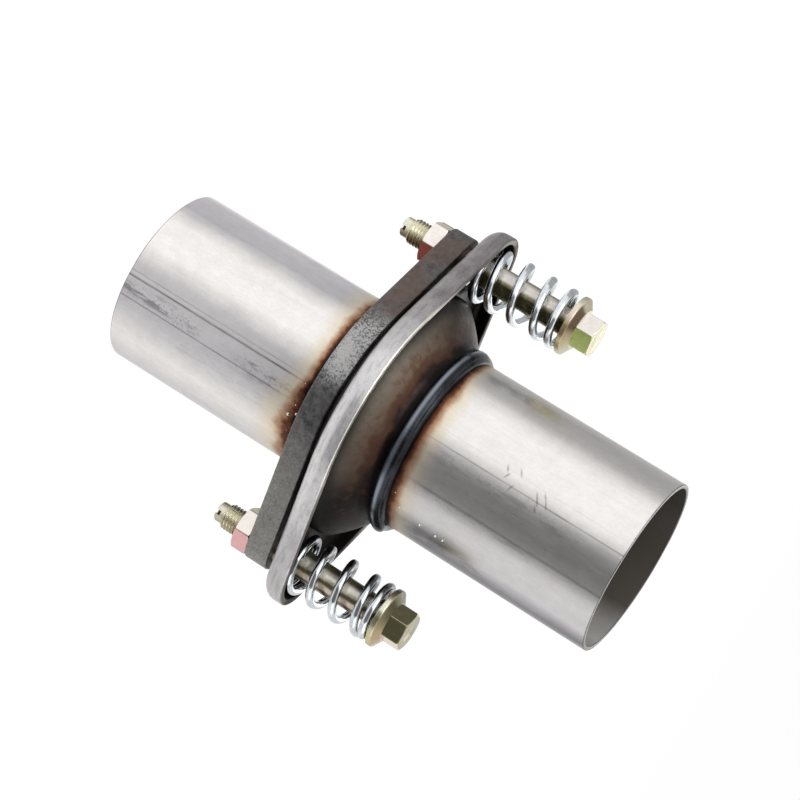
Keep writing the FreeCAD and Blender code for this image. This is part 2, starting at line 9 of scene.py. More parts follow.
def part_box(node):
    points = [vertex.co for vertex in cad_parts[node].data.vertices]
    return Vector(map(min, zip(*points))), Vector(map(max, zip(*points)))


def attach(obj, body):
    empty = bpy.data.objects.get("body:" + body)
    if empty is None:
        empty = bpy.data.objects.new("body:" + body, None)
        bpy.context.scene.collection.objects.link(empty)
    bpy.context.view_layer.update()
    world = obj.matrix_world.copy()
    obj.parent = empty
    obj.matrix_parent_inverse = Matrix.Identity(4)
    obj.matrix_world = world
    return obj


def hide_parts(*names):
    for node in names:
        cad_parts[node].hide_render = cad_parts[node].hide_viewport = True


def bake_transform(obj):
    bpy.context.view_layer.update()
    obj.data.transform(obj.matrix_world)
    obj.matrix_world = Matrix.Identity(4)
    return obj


# The looks of the sprung pipe joint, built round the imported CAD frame. Sizes are in metres.
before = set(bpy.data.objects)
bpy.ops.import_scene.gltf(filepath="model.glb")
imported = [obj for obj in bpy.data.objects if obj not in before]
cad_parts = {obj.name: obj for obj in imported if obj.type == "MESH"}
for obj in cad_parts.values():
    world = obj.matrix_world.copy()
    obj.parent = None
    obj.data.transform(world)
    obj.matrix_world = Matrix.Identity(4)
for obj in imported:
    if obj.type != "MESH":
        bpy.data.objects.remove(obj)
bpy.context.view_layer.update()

bl_info = {
    "name": "Flexible pipe connector",
    "version": (1, 0, 0),
    "blender": (4, 5, 0),
    "location": "View3D > Sidebar > Pipe connector",
    "description": "Dresses a sprung exhaust pipe joint and sets its studio",
    "category": "Object",
}

MM = 0.001

# Where the CAD puts things
INLET_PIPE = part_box("inlet_pipe")
OUTLET_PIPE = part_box("outlet_pipe")
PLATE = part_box("inlet_flange")
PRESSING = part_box("outlet_flange")
RIGHT_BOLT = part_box("bolt_right")
RIGHT_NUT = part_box("nut_right")
PIPE_R = INLET_PIPE[1][0]
BOLT_X = (RIGHT_BOLT[0][0] + RIGHT_BOLT[1][0]) / 2
NECK_END = PRESSING[1][2]

# The CAD's sizes that its boxes don't give
NECK_R = PIPE_R + 2.55 * MM
OUTLET_BEAD = 5.4 * MM
INLET_BEAD = 3.2 * MM
SHEET = 2.5 * MM
THREAD_R = 4.75 * MM
SHANK_R = 5.1 * MM
TIP_R = 3.6 * MM
TIP_LENGTH = 3.2 * MM
NOTCH_DEPTH = 1.9 * MM
NOTCH_WIDTH = 1.6 * MM
NOTCH_FLOOR = 1.0 * MM
SHANK_LENGTH = 42.5 * MM
HEAD_FLANGE_R = 10.8 * MM
HEAD_FLANGE_EDGE = 2.0 * MM
HEAD_FLANGE_HEIGHT = 4.0 * MM
HEAD_FLATS = 12.7 * MM
NUT_FLATS = 14.3 * MM
NUT_HOLE_R = 4.78 * MM
BEVEL = 0.9 * MM
COIL_R = 9.5 * MM
SPRING_SEAT = 0.2 * MM


# Sizes and colours that a user would change

class ConnectorSizes(bpy.types.PropertyGroup):
    """Sizes of the details that the CAD leaves to the looks"""
    pipe_wall: FloatProperty(
        name="Pipe wall", description="Thickness of both pipes", default=1.5 * MM, unit="LENGTH")
    pipe_lip: FloatProperty(
        name="Pipe lip", description="Rounding of the pipes' cut ends", default=0.3 * MM,
        unit="LENGTH")
    cut_ripple: FloatProperty(
        name="Cut ripple", description="How uneven the pipes' cut ends are", default=0.12 * MM,
        unit="LENGTH")
    bead_ripple: FloatProperty(
        name="Bead ripple", description="Height of the ripples along the weld beads",
        default=0.012 * MM, unit="LENGTH")
    bead_ripples: IntProperty(
        name="Bead ripples", description="Ripples round the outlet weld", default=150)
    thread_pitch: FloatProperty(
        name="Thread pitch", description="Rise of the bolt thread in one turn", default=1.25 * MM,
        unit="LENGTH")
    thread_depth: FloatProperty(
        name="Thread depth", description="Depth of the bolt thread", default=0.72 * MM,
        unit="LENGTH")
    edge_rounding: FloatProperty(
        name="Edge rounding", description="Rounding of the hexagons' edges", default=0.35 * MM,
        unit="LENGTH")
    wire_diameter: FloatProperty(
        name="Spring wire", description="Thickness of the spring wire", default=3.0 * MM,
        unit="LENGTH")
    spatter: IntProperty(
        name="Spatter", description="Beads of weld spatter beside each weld", default=7)


class ConnectorColours(bpy.types.PropertyGroup):
    """Colours of the finishes"""
    tube: FloatVectorProperty(
        name="Tube", description="Satin stainless tube", subtype="COLOR", size=3,
        default=(0.95, 0.935, 0.925))
    plate: FloatVectorProperty(
        name="Plate", description="Hot-rolled steel plate", subtype="COLOR", size=3,
        default=(0.135, 0.13, 0.13))
    rubbed: FloatVectorProperty(
        name="Rubbed plate", description="Plate where its scale is rubbed off",
        subtype="COLOR", size=3, default=(0.66, 0.66, 0.66))
    rust: FloatVectorProperty(
        name="Rust", description="Rust on the plate", subtype="COLOR", size=3,
        default=(0.15, 0.085, 0.06))
    rim: FloatVectorProperty(
        name="Rim", description="Rim of the pressed flange", subtype="COLOR", size=3,
        default=(0.76, 0.74, 0.745))
    # The rim's colour in painted shade, towards the bolts
    rim_shaded: FloatVectorProperty(
        name="Brown rim", description="Duller side of the rim", subtype="COLOR", size=3,
        default=(0.215, 0.195, 0.20))
    # The edge's colour is a painted highlight
    lip: FloatVectorProperty(
        name="Lip", description="Edge of the rim", subtype="COLOR", size=3,
        default=(0.85, 0.82, 0.74))
    # Painted shade: the colour of the flange's floor under the springs
    pocket_shade: FloatVectorProperty(
        name="Pocket", description="Floor of the pressed flange", subtype="COLOR", size=3,
        default=(0.016, 0.013, 0.012))
    bead: FloatVectorProperty(
        name="Bead", description="Weld bead", subtype="COLOR", size=3,
        default=(0.055, 0.061, 0.072))
    burnt: FloatVectorProperty(
        name="Burnt", description="Darkest heat tint beside a weld", subtype="COLOR", size=3,
        default=(0.022, 0.012, 0.011))
    brown: FloatVectorProperty(
        name="Brown", description="Brown heat tint", subtype="COLOR", size=3,
        default=(0.13, 0.048, 0.026))
    orange: FloatVectorProperty(
        name="Orange", description="Heat tint between the brown and the straw",
        subtype="COLOR", size=3, default=(0.46, 0.25, 0.14))
    straw: FloatVectorProperty(
        name="Straw", description="Palest heat tint", subtype="COLOR", size=3,
        default=(0.84, 0.73, 0.54))
    spring: FloatVectorProperty(
        name="Spring", description="Bright zinc on the springs", subtype="COLOR", size=3,
        default=(0.74, 0.78, 0.81))
    ring: FloatVectorProperty(
        name="Sealing ring", description="Sintered sealing ring", subtype="COLOR", size=3,
        default=(0.035, 0.03, 0.028))


class ConnectorStudio(bpy.types.PropertyGroup):
    """The stage: lamps, floor and camera"""
    key_power: FloatProperty(
        name="Key lamp", description="Power of the main soft lamp", default=9.0, unit="POWER")
    fill_power: FloatProperty(
        name="Fill lamp", description="Power of the second soft lamp", default=4.0, unit="POWER")
    room_light: FloatProperty(
        name="Room light", description="How strongly the white room lights the object",
        default=0.5)
    flag_grey: FloatProperty(
        name="Flag grey", description="Grey of the dark card that the metal reflects",
        default=0.20)
    lens: FloatProperty(
        name="Lens", description="Focal length on a 36 mm sensor, in mm", default=114.74)
    distance: FloatProperty(
        name="Distance", description="From the camera to its aim", default=859.8 * MM,
        unit="LENGTH")
    roll: FloatProperty(
        name="Roll", description="Turn of the camera about its view", subtype="ANGLE",
        default=math.radians(121.71))


# Short calls for meshes

def link(piece):
    """Put a new object in the scene."""
    bpy.context.scene.collection.objects.link(piece)
    return piece


def mesh_piece(name, points, faces, finish, crease=35.0):
    """A smooth mesh with creases where its faces turn sharply."""
    mesh = bpy.data.meshes.new(name)
    mesh.from_pydata(points, [], faces)
    mesh.materials.append(finish)
    mesh.shade_smooth()
    mesh.set_sharp_from_angle(angle=math.radians(crease))
    piece = link(bpy.data.objects.new(name, mesh))
    weights = piece.modifiers.new("face_weights", "WEIGHTED_NORMAL")
    weights.keep_sharp = True
    return piece


def even_angles(count):
    """Angles that share a full turn evenly."""
    return [math.tau * step / count for step in range(count)]


def hexagon_angles(turn):
    """Angles round a hexagon, closer together at its corners."""
    after = (0.7, 1.5, 2.4, 3.4, 5, 8, 14, 22)
    offsets = (-30, *(-offset for offset in reversed(after)), 0, *after)
    return [math.radians(turn + 60 * corner + offset) for corner in range(6) for offset in offsets]


def bands(rings, around, base=0, closed=False):
    """Faces between rings of points, each joined to the next."""
    faces = []
    for low in range(rings if closed else rings - 1):
        high = (low + 1) % rings
        for step in range(around):
            after = (step + 1) % around
            faces.append((
                base + low * around + step, base + low * around + after,
                base + high * around + after, base + high * around + step))
    return faces


def turned(rings, angles, centre=(0, 0), closed=False):
    """Points and faces of rings round an upright axis.

    Each ring is its height and its radius, or a function that gives both for an angle. A closed
    profile joins its last ring to its first, and an open one is capped at both ends."""
    points = []
    for ring in rings:
        for angle in angles:
            radius, height = ring(angle) if callable(ring) else ring
            points.append((
                centre[0] + radius * math.cos(angle), centre[1] + radius * math.sin(angle), height))
    around = len(angles)
    faces = bands(len(rings), around, closed=closed)
    if not closed:
        last = (len(rings) - 1) * around
        faces += [tuple(reversed(range(around))), tuple(range(last, last + around))]
    return points, faces


def arc_points(start, end, rise, count):
    """Points of an arc from one (radius, height) to another, bulging to its right by a rise."""
    chord = Vector(end) - Vector(start)
    half = chord.length / 2
    radius = (half ** 2 + rise ** 2) / (2 * rise)
    outward = Vector((chord.y, -chord.x)).normalized()
    middle = (Vector(start) + Vector(end)) / 2 - outward * (radius - rise)
    reach = math.asin(min(1.0, half / radius))
    along = chord.normalized()
    points = []
    for step in range(count + 1):
        turn = reach * (2 * step / count - 1)
        points.append(middle + outward * radius * math.cos(turn) + along * radius * math.sin(turn))
    return points


def wave(angle, seed, octaves=4, slowest=2):
    """A smooth uneven wave round a full turn, from about -1 to 1, the same at each run."""
    chance = random.Random(seed)
    total = 0.0
    for octave in range(octaves):
        turns = slowest * (octave * 2 + 1)
        total += math.sin(turns * angle + chance.uniform(0, math.tau)) / (octave + 1)
    return total / 2


# Short calls for shader nodes

def feed(socket, value):
    """Join a socket to another, or set its value."""
    if isinstance(value, bpy.types.NodeSocket):
        socket.id_data.links.new(value, socket)
    else:
        socket.default_value = value


def add(tree, kind, settings=None, **values):
    """Add a node, with its settings and the values of its inputs by name."""
    node = tree.nodes.new(kind)
    for name, value in (settings or {}).items():
        setattr(node, name, value)
    for name, value in values.items():
        feed(node.inputs[name.replace("_", " ")], value)
    return node


def calc(tree, operation, first, second=0.0):
    """The result of one Math node."""
    node = add(tree, "ShaderNodeMath", {"operation": operation})
    for socket, value in zip(node.inputs, (first, second)):
        feed(socket, value)
    return node.outputs[0]


def times(tree, first, *others):
    """The product of values."""
    for other in others:
        first = calc(tree, "MULTIPLY", first, other)
    return first


def swing(tree, value, size):
    """A 0 to 1 value as a swing round 0, of this size in all."""
    return times(tree, calc(tree, "SUBTRACT", value, 0.5), size)


def darkened(tree, tone, share):
    """A tone with a share of it taken away."""
    return times(tree, tone, calc(tree, "SUBTRACT", 1.0, share))


def fade(tree, value, start, end, low=0.0, high=1.0):
    """A smooth step from low at start to high at end."""
    node = add(tree, "ShaderNodeMapRange", {"interpolation_type": "SMOOTHSTEP"})
    for name, given in (
            ("Value", value), ("From Min", start), ("From Max", end), ("To Min", low),
            ("To Max", high)):
        feed(node.inputs[name], given)
    return node.outputs["Result"]


def hump(tree, value, middle, width):
    """1 at the middle, falling smoothly to 0 at a width from it."""
    off = calc(tree, "ABSOLUTE", calc(tree, "SUBTRACT", value, middle))
    return fade(tree, off, 0.0, width, 1.0, 0.0)


def blend_colours(tree, share, first, second, way="MIX"):
    """Two colours mixed by a share."""
    node = tree.nodes.new("ShaderNodeMix")
    node.data_type = "RGBA"
    node.blend_type = way
    feed(node.inputs[0], share)
    feed(node.inputs[6], rgba(first))
    feed(node.inputs[7], rgba(second))
    return node.outputs[2]


def tinted(tree, first, second):
    """Two colours multiplied."""
    return blend_colours(tree, 1.0, first, second, "MULTIPLY")


def rgba(colour):
    """A colour with its alpha, or the socket as it is."""
    if isinstance(colour, bpy.types.NodeSocket):
        return colour
    return (*colour[:3], 1.0)


def ramp(tree, value, stops, way="EASE"):
    """A colour ramp over stops of place and grey or colour."""
    node = tree.nodes.new("ShaderNodeValToRGB")
    node.color_ramp.interpolation = way
    while len(node.color_ramp.elements) < len(stops):
        node.color_ramp.elements.new(0.5)
    for element, (place, colour) in zip(node.color_ramp.elements, stops):
        element.position = place
        element.color = (colour, colour, colour, 1.0) if isinstance(colour, float) else rgba(colour)
    feed(node.inputs["Fac"], value)
    return node.outputs["Color"]


def ramp_round(tree, angle, stops):
    """A colour ramp without curves, over stops of an angle in degrees and a grey or colour."""
    return ramp(
        tree, calc(tree, "DIVIDE", angle, 360.0), [(at / 360, shade) for at, shade in stops],
        "LINEAR")


def shader_group(name, inputs, outputs):
    """An empty shader group with its sockets."""
    tree = bpy.data.node_groups.new(name, "ShaderNodeTree")
    for socket, kind, default in inputs:
        made = tree.interface.new_socket(name=socket, in_out="INPUT", socket_type=kind)
        if default is not None:
            made.default_value = default
    for socket, kind in outputs:
        tree.interface.new_socket(name=socket, in_out="OUTPUT", socket_type=kind)
    source = tree.nodes.new("NodeGroupInput")
    result = tree.nodes.new("NodeGroupOutput")
    return tree, source.outputs, result.inputs


def use(tree, group, **values):
    """Place a shader group with its own values, and give its outputs."""
    settings = {"node_tree": bpy.data.node_groups[group]}
    return add(tree, "ShaderNodeGroup", settings, **values).outputs


FLOAT = "NodeSocketFloat"
COLOUR = "NodeSocketColor"
VECTOR = "NodeSocketVector"


def make_place_group():
    """Where a point is round an upright axis at some X: millimetres and degrees."""
    tree, source, result = shader_group(
        "Place round axis", [("Axis X", FLOAT, 0.0)],
        [("Angle", FLOAT), ("Radius", FLOAT), ("Height", FLOAT), ("Place", VECTOR)])
    place = tree.nodes.new("ShaderNodeTexCoord").outputs["Object"]
    scaled = add(tree, "ShaderNodeVectorMath", {"operation": "SCALE"})
    feed(scaled.inputs[0], place)
    scaled.inputs["Scale"].default_value = 1 / MM
    parts = add(tree, "ShaderNodeSeparateXYZ", Vector=scaled.outputs[0]).outputs
    across = calc(tree, "SUBTRACT", parts[0], source["Axis X"])
    angle = times(tree, calc(tree, "ARCTAN2", parts[1], across), 180 / math.pi)
    squares = calc(tree, "ADD", times(tree, across, across), times(tree, parts[1], parts[1]))
    feed(result["Angle"], calc(tree, "MODULO", calc(tree, "ADD", angle, 360.0), 360.0))
    feed(result["Radius"], calc(tree, "SQRT", squares))
    feed(result["Height"], parts[2])
    feed(result["Place"], scaled.outputs[0])


def make_grain_group():
    """Fine streaks along the upright axis, as drawing and polishing leave on a tube."""
    tree, source, result = shader_group(
        "Drawn grain", [("Fineness", FLOAT, 1.0), ("Stretch", FLOAT, 0.05), ("Seed", FLOAT, 0.0)],
        [("Streaks", FLOAT), ("Fine", FLOAT)])
    place = use(tree, "Place round axis")
    parts = add(tree, "ShaderNodeSeparateXYZ", Vector=place["Place"]).outputs
    squeezed = add(
        tree, "ShaderNodeCombineXYZ", X=times(tree, parts[0], source["Fineness"]),
        Y=times(tree, parts[1], source["Fineness"]),
        Z=times(tree, parts[2], source["Stretch"], source["Fineness"]))
    for output, scale, detail in (("Streaks", 0.35, 5.0), ("Fine", 1.9, 3.0)):
        noise = add(
            tree, "ShaderNodeTexNoise", {"noise_dimensions": "4D"}, Vector=squeezed.outputs[0],
            W=source["Seed"], Scale=scale, Detail=detail, Roughness=0.62)
        feed(result[output], noise.outputs[0])


def make_mottle_group():
    """Uneven patches and a fine tooth, as scale, dirt and wear leave on plain steel."""
    tree, source, result = shader_group(
        "Mottle", [("Patch size", FLOAT, 8.0), ("Tooth size", FLOAT, 0.8), ("Seed", FLOAT, 0.0)],
        [("Patches", FLOAT), ("Tooth", FLOAT), ("Pits", FLOAT)])
    place = use(tree, "Place round axis")["Place"]
    for output, size, detail in (("Patches", "Patch size", 5.0), ("Tooth", "Tooth size", 4.0)):
        noise = add(
            tree, "ShaderNodeTexNoise", {"noise_dimensions": "4D"}, Vector=place, W=source["Seed"],
            Scale=calc(tree, "DIVIDE", 1.0, source[size]), Detail=detail, Roughness=0.6)
        feed(result[output], noise.outputs[0])
    cells = add(
        tree, "ShaderNodeTexVoronoi", {"voronoi_dimensions": "4D"}, Vector=place, W=source["Seed"],
        Scale=calc(tree, "DIVIDE", 0.45, source["Tooth size"]), Randomness=1.0)
    feed(result["Pits"], fade(tree, cells.outputs["Distance"], 0.16, 0.34, 1.0, 0.0))


def make_heat_group():
    """Heat tint by the distance from a weld: burnt, brown, orange, straw, then nothing."""
    tree, source, result = shader_group(
        "Heat tint",
        [("Distance", FLOAT, 0.0), ("Reach", FLOAT, 6.0), ("Unevenness", FLOAT, 0.5),
         ("Burnt", COLOUR, None), ("Brown", COLOUR, None), ("Orange", COLOUR, None),
         ("Straw", COLOUR, None)],
        [("Colour", COLOUR), ("Mask", FLOAT)])
    place = use(tree, "Place round axis")["Place"]
    noise = add(
        tree, "ShaderNodeTexNoise", Vector=place, Scale=0.16, Detail=5.0, Roughness=0.62).outputs[0]
    share = calc(
        tree, "ADD", calc(tree, "DIVIDE", source["Distance"], source["Reach"]),
        swing(tree, noise, times(tree, source["Unevenness"], 2.0)))
    inner = blend_colours(tree, fade(tree, share, 0.0, 0.12), source["Burnt"], source["Brown"])
    middle = blend_colours(tree, fade(tree, share, 0.10, 0.24), inner, source["Orange"])
    feed(result["Colour"], blend_colours(
        tree, fade(tree, share, 0.20, 0.46), middle, source["Straw"]))
    feed(result["Mask"], fade(tree, share, 0.12, 1.0, 1.0, 0.0))


def new_finish(name):
    """A material with only its Principled shader, and that shader's inputs."""
    finish = bpy.data.materials.new(name)
    finish.use_nodes = True
    tree = finish.node_tree
    shader = next(node for node in tree.nodes if node.type == "BSDF_PRINCIPLED")
    return finish, tree, shader.inputs


def lay_on(tree, shader, colour, metal, rough, tooth, strength, depth):
    """Feed a shader its colour, metal, roughness and, from a tooth's height, its normal."""
    normal = add(tree, "ShaderNodeBump", Strength=strength, Distance=depth, Height=tooth)
    for name, value in (
            ("Base Color", colour), ("Metallic", metal), ("Roughness", rough),
            ("Normal", normal.outputs["Normal"])):
        feed(shader[name], value)


def spread(tree, value, low, high):
    """A 0 to 1 value laid between two others."""
    return fade(tree, value, 0.25, 0.75, low, high)


# Tones round the tubes, by the angle from +X: broad bands of painted highlight, reflection and
# shade, set so that the tubes look as in the photo from its side
INLET_PAINTED_BANDS = (
    (0, 0.60), (10, 0.80), (20, 0.50), (45, 0.50), (60, 0.95), (80, 1.00), (95, 0.60), (120, 0.55),
    (145, 0.85), (170, 0.60), (250, 0.70), (300, 0.45), (360, 0.60))
OUTLET_PAINTED_BANDS = (
    (0, 0.70), (10, 0.90), (30, 0.70), (45, 0.75), (60, 0.95), (85, 0.95), (95, 0.70), (110, 0.75),
    (150, 0.65), (165, 0.15), (172, 0.15), (185, 0.50), (250, 0.70), (300, 0.45), (360, 0.70))
# How dark the tubes are inside, by the angle from +X: painted shade, with a painted pale patch of
# light
BORE_PAINTED_SHADE = (
    (0, (0.10, 0.088, 0.075)), (180, (0.34, 0.32, 0.305)), (208.8, (0.75, 0.73, 0.71)),
    (230.4, (0.50, 0.48, 0.46)), (248.4, (0.13, 0.115, 0.10)), (331.2, (0.08, 0.07, 0.06)),
    (360, (0.10, 0.088, 0.075)))
# The tint that goes with a painted band's tone: a dark one is a little bluer, and a pale one warmer
PAINTED_BAND_TINTS = (
    (0.0, (0.97, 0.95, 1.0)), (0.55, (0.975, 0.955, 1.0)), (0.8, (1.0, 0.975, 0.96)),
    (1.0, (1.0, 0.99, 0.985)))
# How far the heat tint reaches from the weld, in mm, by the angle from +X
INLET_TINT = (
    (0, 13.0), (40, 12.0), (62, 10.0), (98, 10.0), (125, 19.0), (270, 19.0), (360, 13.0))
OUTLET_TINT = (
    (0, 6.0), (45, 8.0), (62, 11.0), (88, 11.0), (110, 12.0), (150, 12.0), (360, 6.0))
# Seams along the tubes: angle, width in degrees and depth
INLET_SEAMS = ((103.8, 1.2, 0.80), (100.5, 0.8, 0.35), (117.5, 0.8, 0.60))
OUTLET_SEAMS = ((92.0, 0.8, 0.60), (120.0, 1.6, 0.45), (84.0, 0.4, 0.15))
# Smudges: angle, width in degrees, lower and upper height in mm, and depth
INLET_SMUDGES = (
    (114.0, 10.0, 44.0, 76.0, 0.50), (112.0, 9.0, -8.0, 36.0, 0.52),
    (128.0, 12.0, 20.0, 76.0, 0.14), (20.0, 8.0, 40.0, 76.0, 0.25))
OUTLET_SMUDGES = (
    (98.0, 9.0, 112.0, 184.0, 0.26), (160.0, 14.0, 116.0, 158.0, 0.45),
    (122.0, 6.0, 112.0, 170.0, 0.25), (26.0, 8.0, 130.0, 170.0, 0.20))
# Short scratches: angle, height in mm and slant
OUTLET_TICKS = (
    (84.0, 146.5, 0.30), (87.5, 147.5, -0.25), (82.0, 151.0, 0.35), (93.0, 150.5, -0.2),
    (89.0, 159.5, 0.35), (92.0, 160.5, 0.3), (87.0, 162.0, 0.4), (96.0, 161.0, 0.35),
    (91.0, 163.5, 0.3))
# Radii in mm between which the look of the bore gives way to that of the outside
WALL_MIDDLE = (30.8, 31.3)
# Over how many mm a smudge fades at its ends
SMUDGE_END = 8.0
# How far a scratch reaches from its middle, in mm along the tube and in degrees round it
TICK_WIDTH = 0.6
TICK_LENGTH = 3.4
# The colour of the sawn ends
SAWN = (0.07, 0.064, 0.06)


def tube_finish(name, painted_bands, tint, seams, smudges, ticks, weld_height, away, unevenness, seed):
    """Satin stainless tube: painted highlight, reflection and shade in bands round it, fine
    streaks, seam lines along it and heat tint by its weld.

    away is 1 where the tube runs up from its weld and -1 where it runs down, and unevenness is
    that of the heat tint's edge."""
    colours = bpy.context.scene.connector_colours
    finish, tree, shader = new_finish(name)
    place = use(tree, "Place round axis")
    height, angle = place["Height"], place["Angle"]
    grain = use(tree, "Drawn grain", Fineness=1.0, Stretch=0.05, Seed=seed)
    fleck = use(tree, "Drawn grain", Fineness=1.4, Stretch=0.22, Seed=seed + 4.0)
    mottle = use(tree, "Mottle", Patch_size=16.0, Tooth_size=1.1, Seed=seed)
    clouds = use(tree, "Mottle", Patch_size=5.0, Tooth_size=0.6, Seed=seed + 2.0)
    wandering = calc(tree, "ADD", angle, swing(tree, mottle["Patches"], 10.0))
    # Painted highlight, reflection and shade in bands round the tube
    tone = ramp_round(tree, wandering, painted_bands)
    streaked = times(
        tree, tone, spread(tree, grain["Streaks"], 0.96, 1.03),
        spread(tree, fleck["Fine"], 0.94, 1.03), spread(tree, clouds["Patches"], 0.955, 1.03),
        spread(tree, clouds["Tooth"], 0.975, 1.02))
    specks = calc(
        tree, "MAXIMUM", fade(tree, fleck["Streaks"], 0.50, 0.62),
        times(tree, fade(tree, clouds["Tooth"], 0.50, 0.64), 0.9))
    for at, width, low, high, depth in smudges:
        streaked = darkened(tree, streaked, times(
            tree, hump(tree, angle, at, width), fade(tree, height, low, low + SMUDGE_END),
            fade(tree, height, high, high - SMUDGE_END), specks, depth))
    for at, width, depth in seams:
        streaked = darkened(tree, streaked, times(
            tree, hump(tree, angle, at, width), spread(tree, grain["Fine"], 0.35 * depth, depth)))
    for at, middle, slant in ticks:
        along = calc(
            tree, "SUBTRACT", height, times(tree, calc(tree, "SUBTRACT", angle, at), slant))
        streaked = darkened(tree, streaked, times(
            tree, hump(tree, along, middle, TICK_WIDTH), hump(tree, angle, at, TICK_LENGTH), 0.5))
    # Tinted by the painted bands: bluer in painted shade, warmer in painted highlight
    toned = tinted(
        tree, tinted(tree, colours.tube, streaked), ramp(tree, tone, PAINTED_BAND_TINTS, "LINEAR"))
    heat = use(
        tree, "Heat tint", Unevenness=unevenness, Reach=ramp_round(tree, angle, tint),
        Distance=times(tree, calc(tree, "SUBTRACT", height, weld_height / MM), away),
        Burnt=rgba(colours.burnt), Brown=rgba(colours.brown), Orange=rgba(colours.orange),
        Straw=rgba(colours.straw))
    outside = fade(tree, place["Radius"], *WALL_MIDDLE)
    heated = blend_colours(
        tree, times(tree, heat["Mask"], outside), toned,
        blend_colours(tree, 0.45, heat["Colour"], tinted(tree, heat["Colour"], streaked)))
    # Inside, the bore's painted shade and its pale patch of light
    both = blend_colours(tree, outside, ramp_round(tree, wandering, BORE_PAINTED_SHADE), heated)
    # The sawn ends are duller than the drawn wall
    far_end = OUTLET_PIPE[1][2] / MM
    at_end = calc(
        tree, "MAXIMUM", fade(tree, height, 0.45, 0.25),
        fade(tree, height, far_end - 0.5, far_end - 0.3))
    at_end = times(tree, at_end, spread(tree, clouds["Tooth"], 0.6, 1.0))
    shader["Anisotropic"].default_value = 0.35
    lay_on(
        tree, shader, blend_colours(tree, at_end, both, SAWN),
        fade(tree, outside, 0.0, 1.0, 0.3, 1.0),
        calc(tree, "ADD", spread(tree, grain["Fine"], 0.27, 0.36), times(tree, heat["Mask"], 0.12)),
        grain["Fine"], 0.12, 0.00004)
    return finish


def plate_finish():
    """Hot-rolled plate: dark scale, a paler rubbed streak and brown rust."""
    colours = bpy.context.scene.connector_colours
    finish, tree, shader = new_finish("Hot rolled plate")
    angle = use(tree, "Place round axis")["Angle"]
    mottle = use(tree, "Mottle", Patch_size=13.0, Tooth_size=0.9, Seed=3.0)
    fine = use(tree, "Mottle", Patch_size=2.6, Tooth_size=0.6, Seed=8.0)
    scale = blend_colours(
        tree, spread(tree, fine["Patches"], 0.0, 1.0),
        [value * 0.6 for value in colours.plate], [value * 1.5 for value in colours.plate])
    paler_side = ramp_round(tree, angle, ((118, 0.0), (155, 0.75), (270, 0.75), (330, 0.0)))
    scale = blend_colours(tree, paler_side, scale, (0.33, 0.32, 0.30))
    scale = tinted(tree, scale, times(
        tree, spread(tree, fine["Tooth"], 0.68, 1.30), spread(tree, mottle["Patches"], 0.80, 1.18)))
    brown_side = ramp_round(tree, angle, ((44, 1.0), (66, 0.0), (300, 0.0), (325, 1.0)))
    rusty = calc(
        tree, "MAXIMUM", fade(tree, mottle["Patches"], 0.56, 0.72),
        times(tree, brown_side, fade(tree, mottle["Patches"], 0.36, 0.56)))
    rusty = times(tree, rusty, spread(tree, fine["Tooth"], 0.15, 0.85))
    rusted = blend_colours(tree, rusty, scale, colours.rust)
    worn = calc(tree, "ADD", fine["Tooth"], swing(tree, mottle["Patches"], 0.9))
    rubbed = times(
        tree, fade(tree, hump(tree, angle, 76.0, 30.0), 0.0, 0.6), fade(tree, worn, 0.38, 0.66),
        0.68)
    streaked = blend_colours(tree, rubbed, rusted, colours.rubbed)
    pitted = blend_colours(tree, times(tree, mottle["Pits"], 0.22), streaked, (0.05, 0.042, 0.04))
    lay_on(
        tree, shader, pitted, 0.75, spread(tree, fine["Patches"], 0.36, 0.60), mottle["Tooth"],
        0.5, 0.00012)
    return finish


# Heights in mm between which the rim's upright side becomes its edge
RIM_TOP = (98.2, 98.7)


def make_rim_group():
    """Where the pressed flange's rim faces outwards, and its edge, by place and by normal."""
    tree, source, result = shader_group(
        "Rim zones", [("Bolt X", FLOAT, 58.0), ("Bowl radius", FLOAT, 47.2)],
        [("Outside", FLOAT), ("Edge", FLOAT)])
    place = use(tree, "Place round axis")
    parts = add(tree, "ShaderNodeSeparateXYZ", Vector=place["Place"]).outputs
    nearest = calc(
        tree, "MAXIMUM", calc(tree, "MINIMUM", parts[0], source["Bolt X"]),
        times(tree, source["Bolt X"], -1.0))
    away = add(
        tree, "ShaderNodeCombineXYZ", X=calc(tree, "SUBTRACT", parts[0], nearest), Y=parts[1])
    unit = add(tree, "ShaderNodeVectorMath", {"operation": "NORMALIZE"})
    feed(unit.inputs[0], away.outputs[0])
    normal = tree.nodes.new("ShaderNodeTexCoord").outputs["Normal"]
    facing = add(tree, "ShaderNodeVectorMath", {"operation": "DOT_PRODUCT"})
    feed(facing.inputs[0], unit.outputs[0])
    feed(facing.inputs[1], normal)
    beyond = fade(
        tree, place["Radius"], source["Bowl radius"], calc(tree, "ADD", source["Bowl radius"], 1.0))
    feed(result["Outside"], times(
        tree, fade(tree, facing.outputs["Value"], 0.15, 0.45), beyond))
    up = add(tree, "ShaderNodeSeparateXYZ", Vector=normal).outputs[2]
    feed(result["Edge"], times(
        tree, fade(tree, up, 0.25, 0.6), beyond, fade(tree, place["Height"], *RIM_TOP)))


# Colours of the bowl by the distance from its bead, in mm
BOWL_TINTS = (
    (0.0, (0.010, 0.008, 0.009)), (1.5, (0.020, 0.014, 0.014)), (4.0, (0.090, 0.047, 0.031)),
    (6.5, (0.150, 0.108, 0.080)), (9.5, (0.150, 0.130, 0.105)), (13.0, (0.100, 0.092, 0.082)),
    (18.0, (0.060, 0.054, 0.050)))
BOWL_REACH = 18.0
# Heights in mm between which the bowl's wall darkens down to the flange's floor, as painted shade
POCKET_SHADE = (101.5, 96.5)
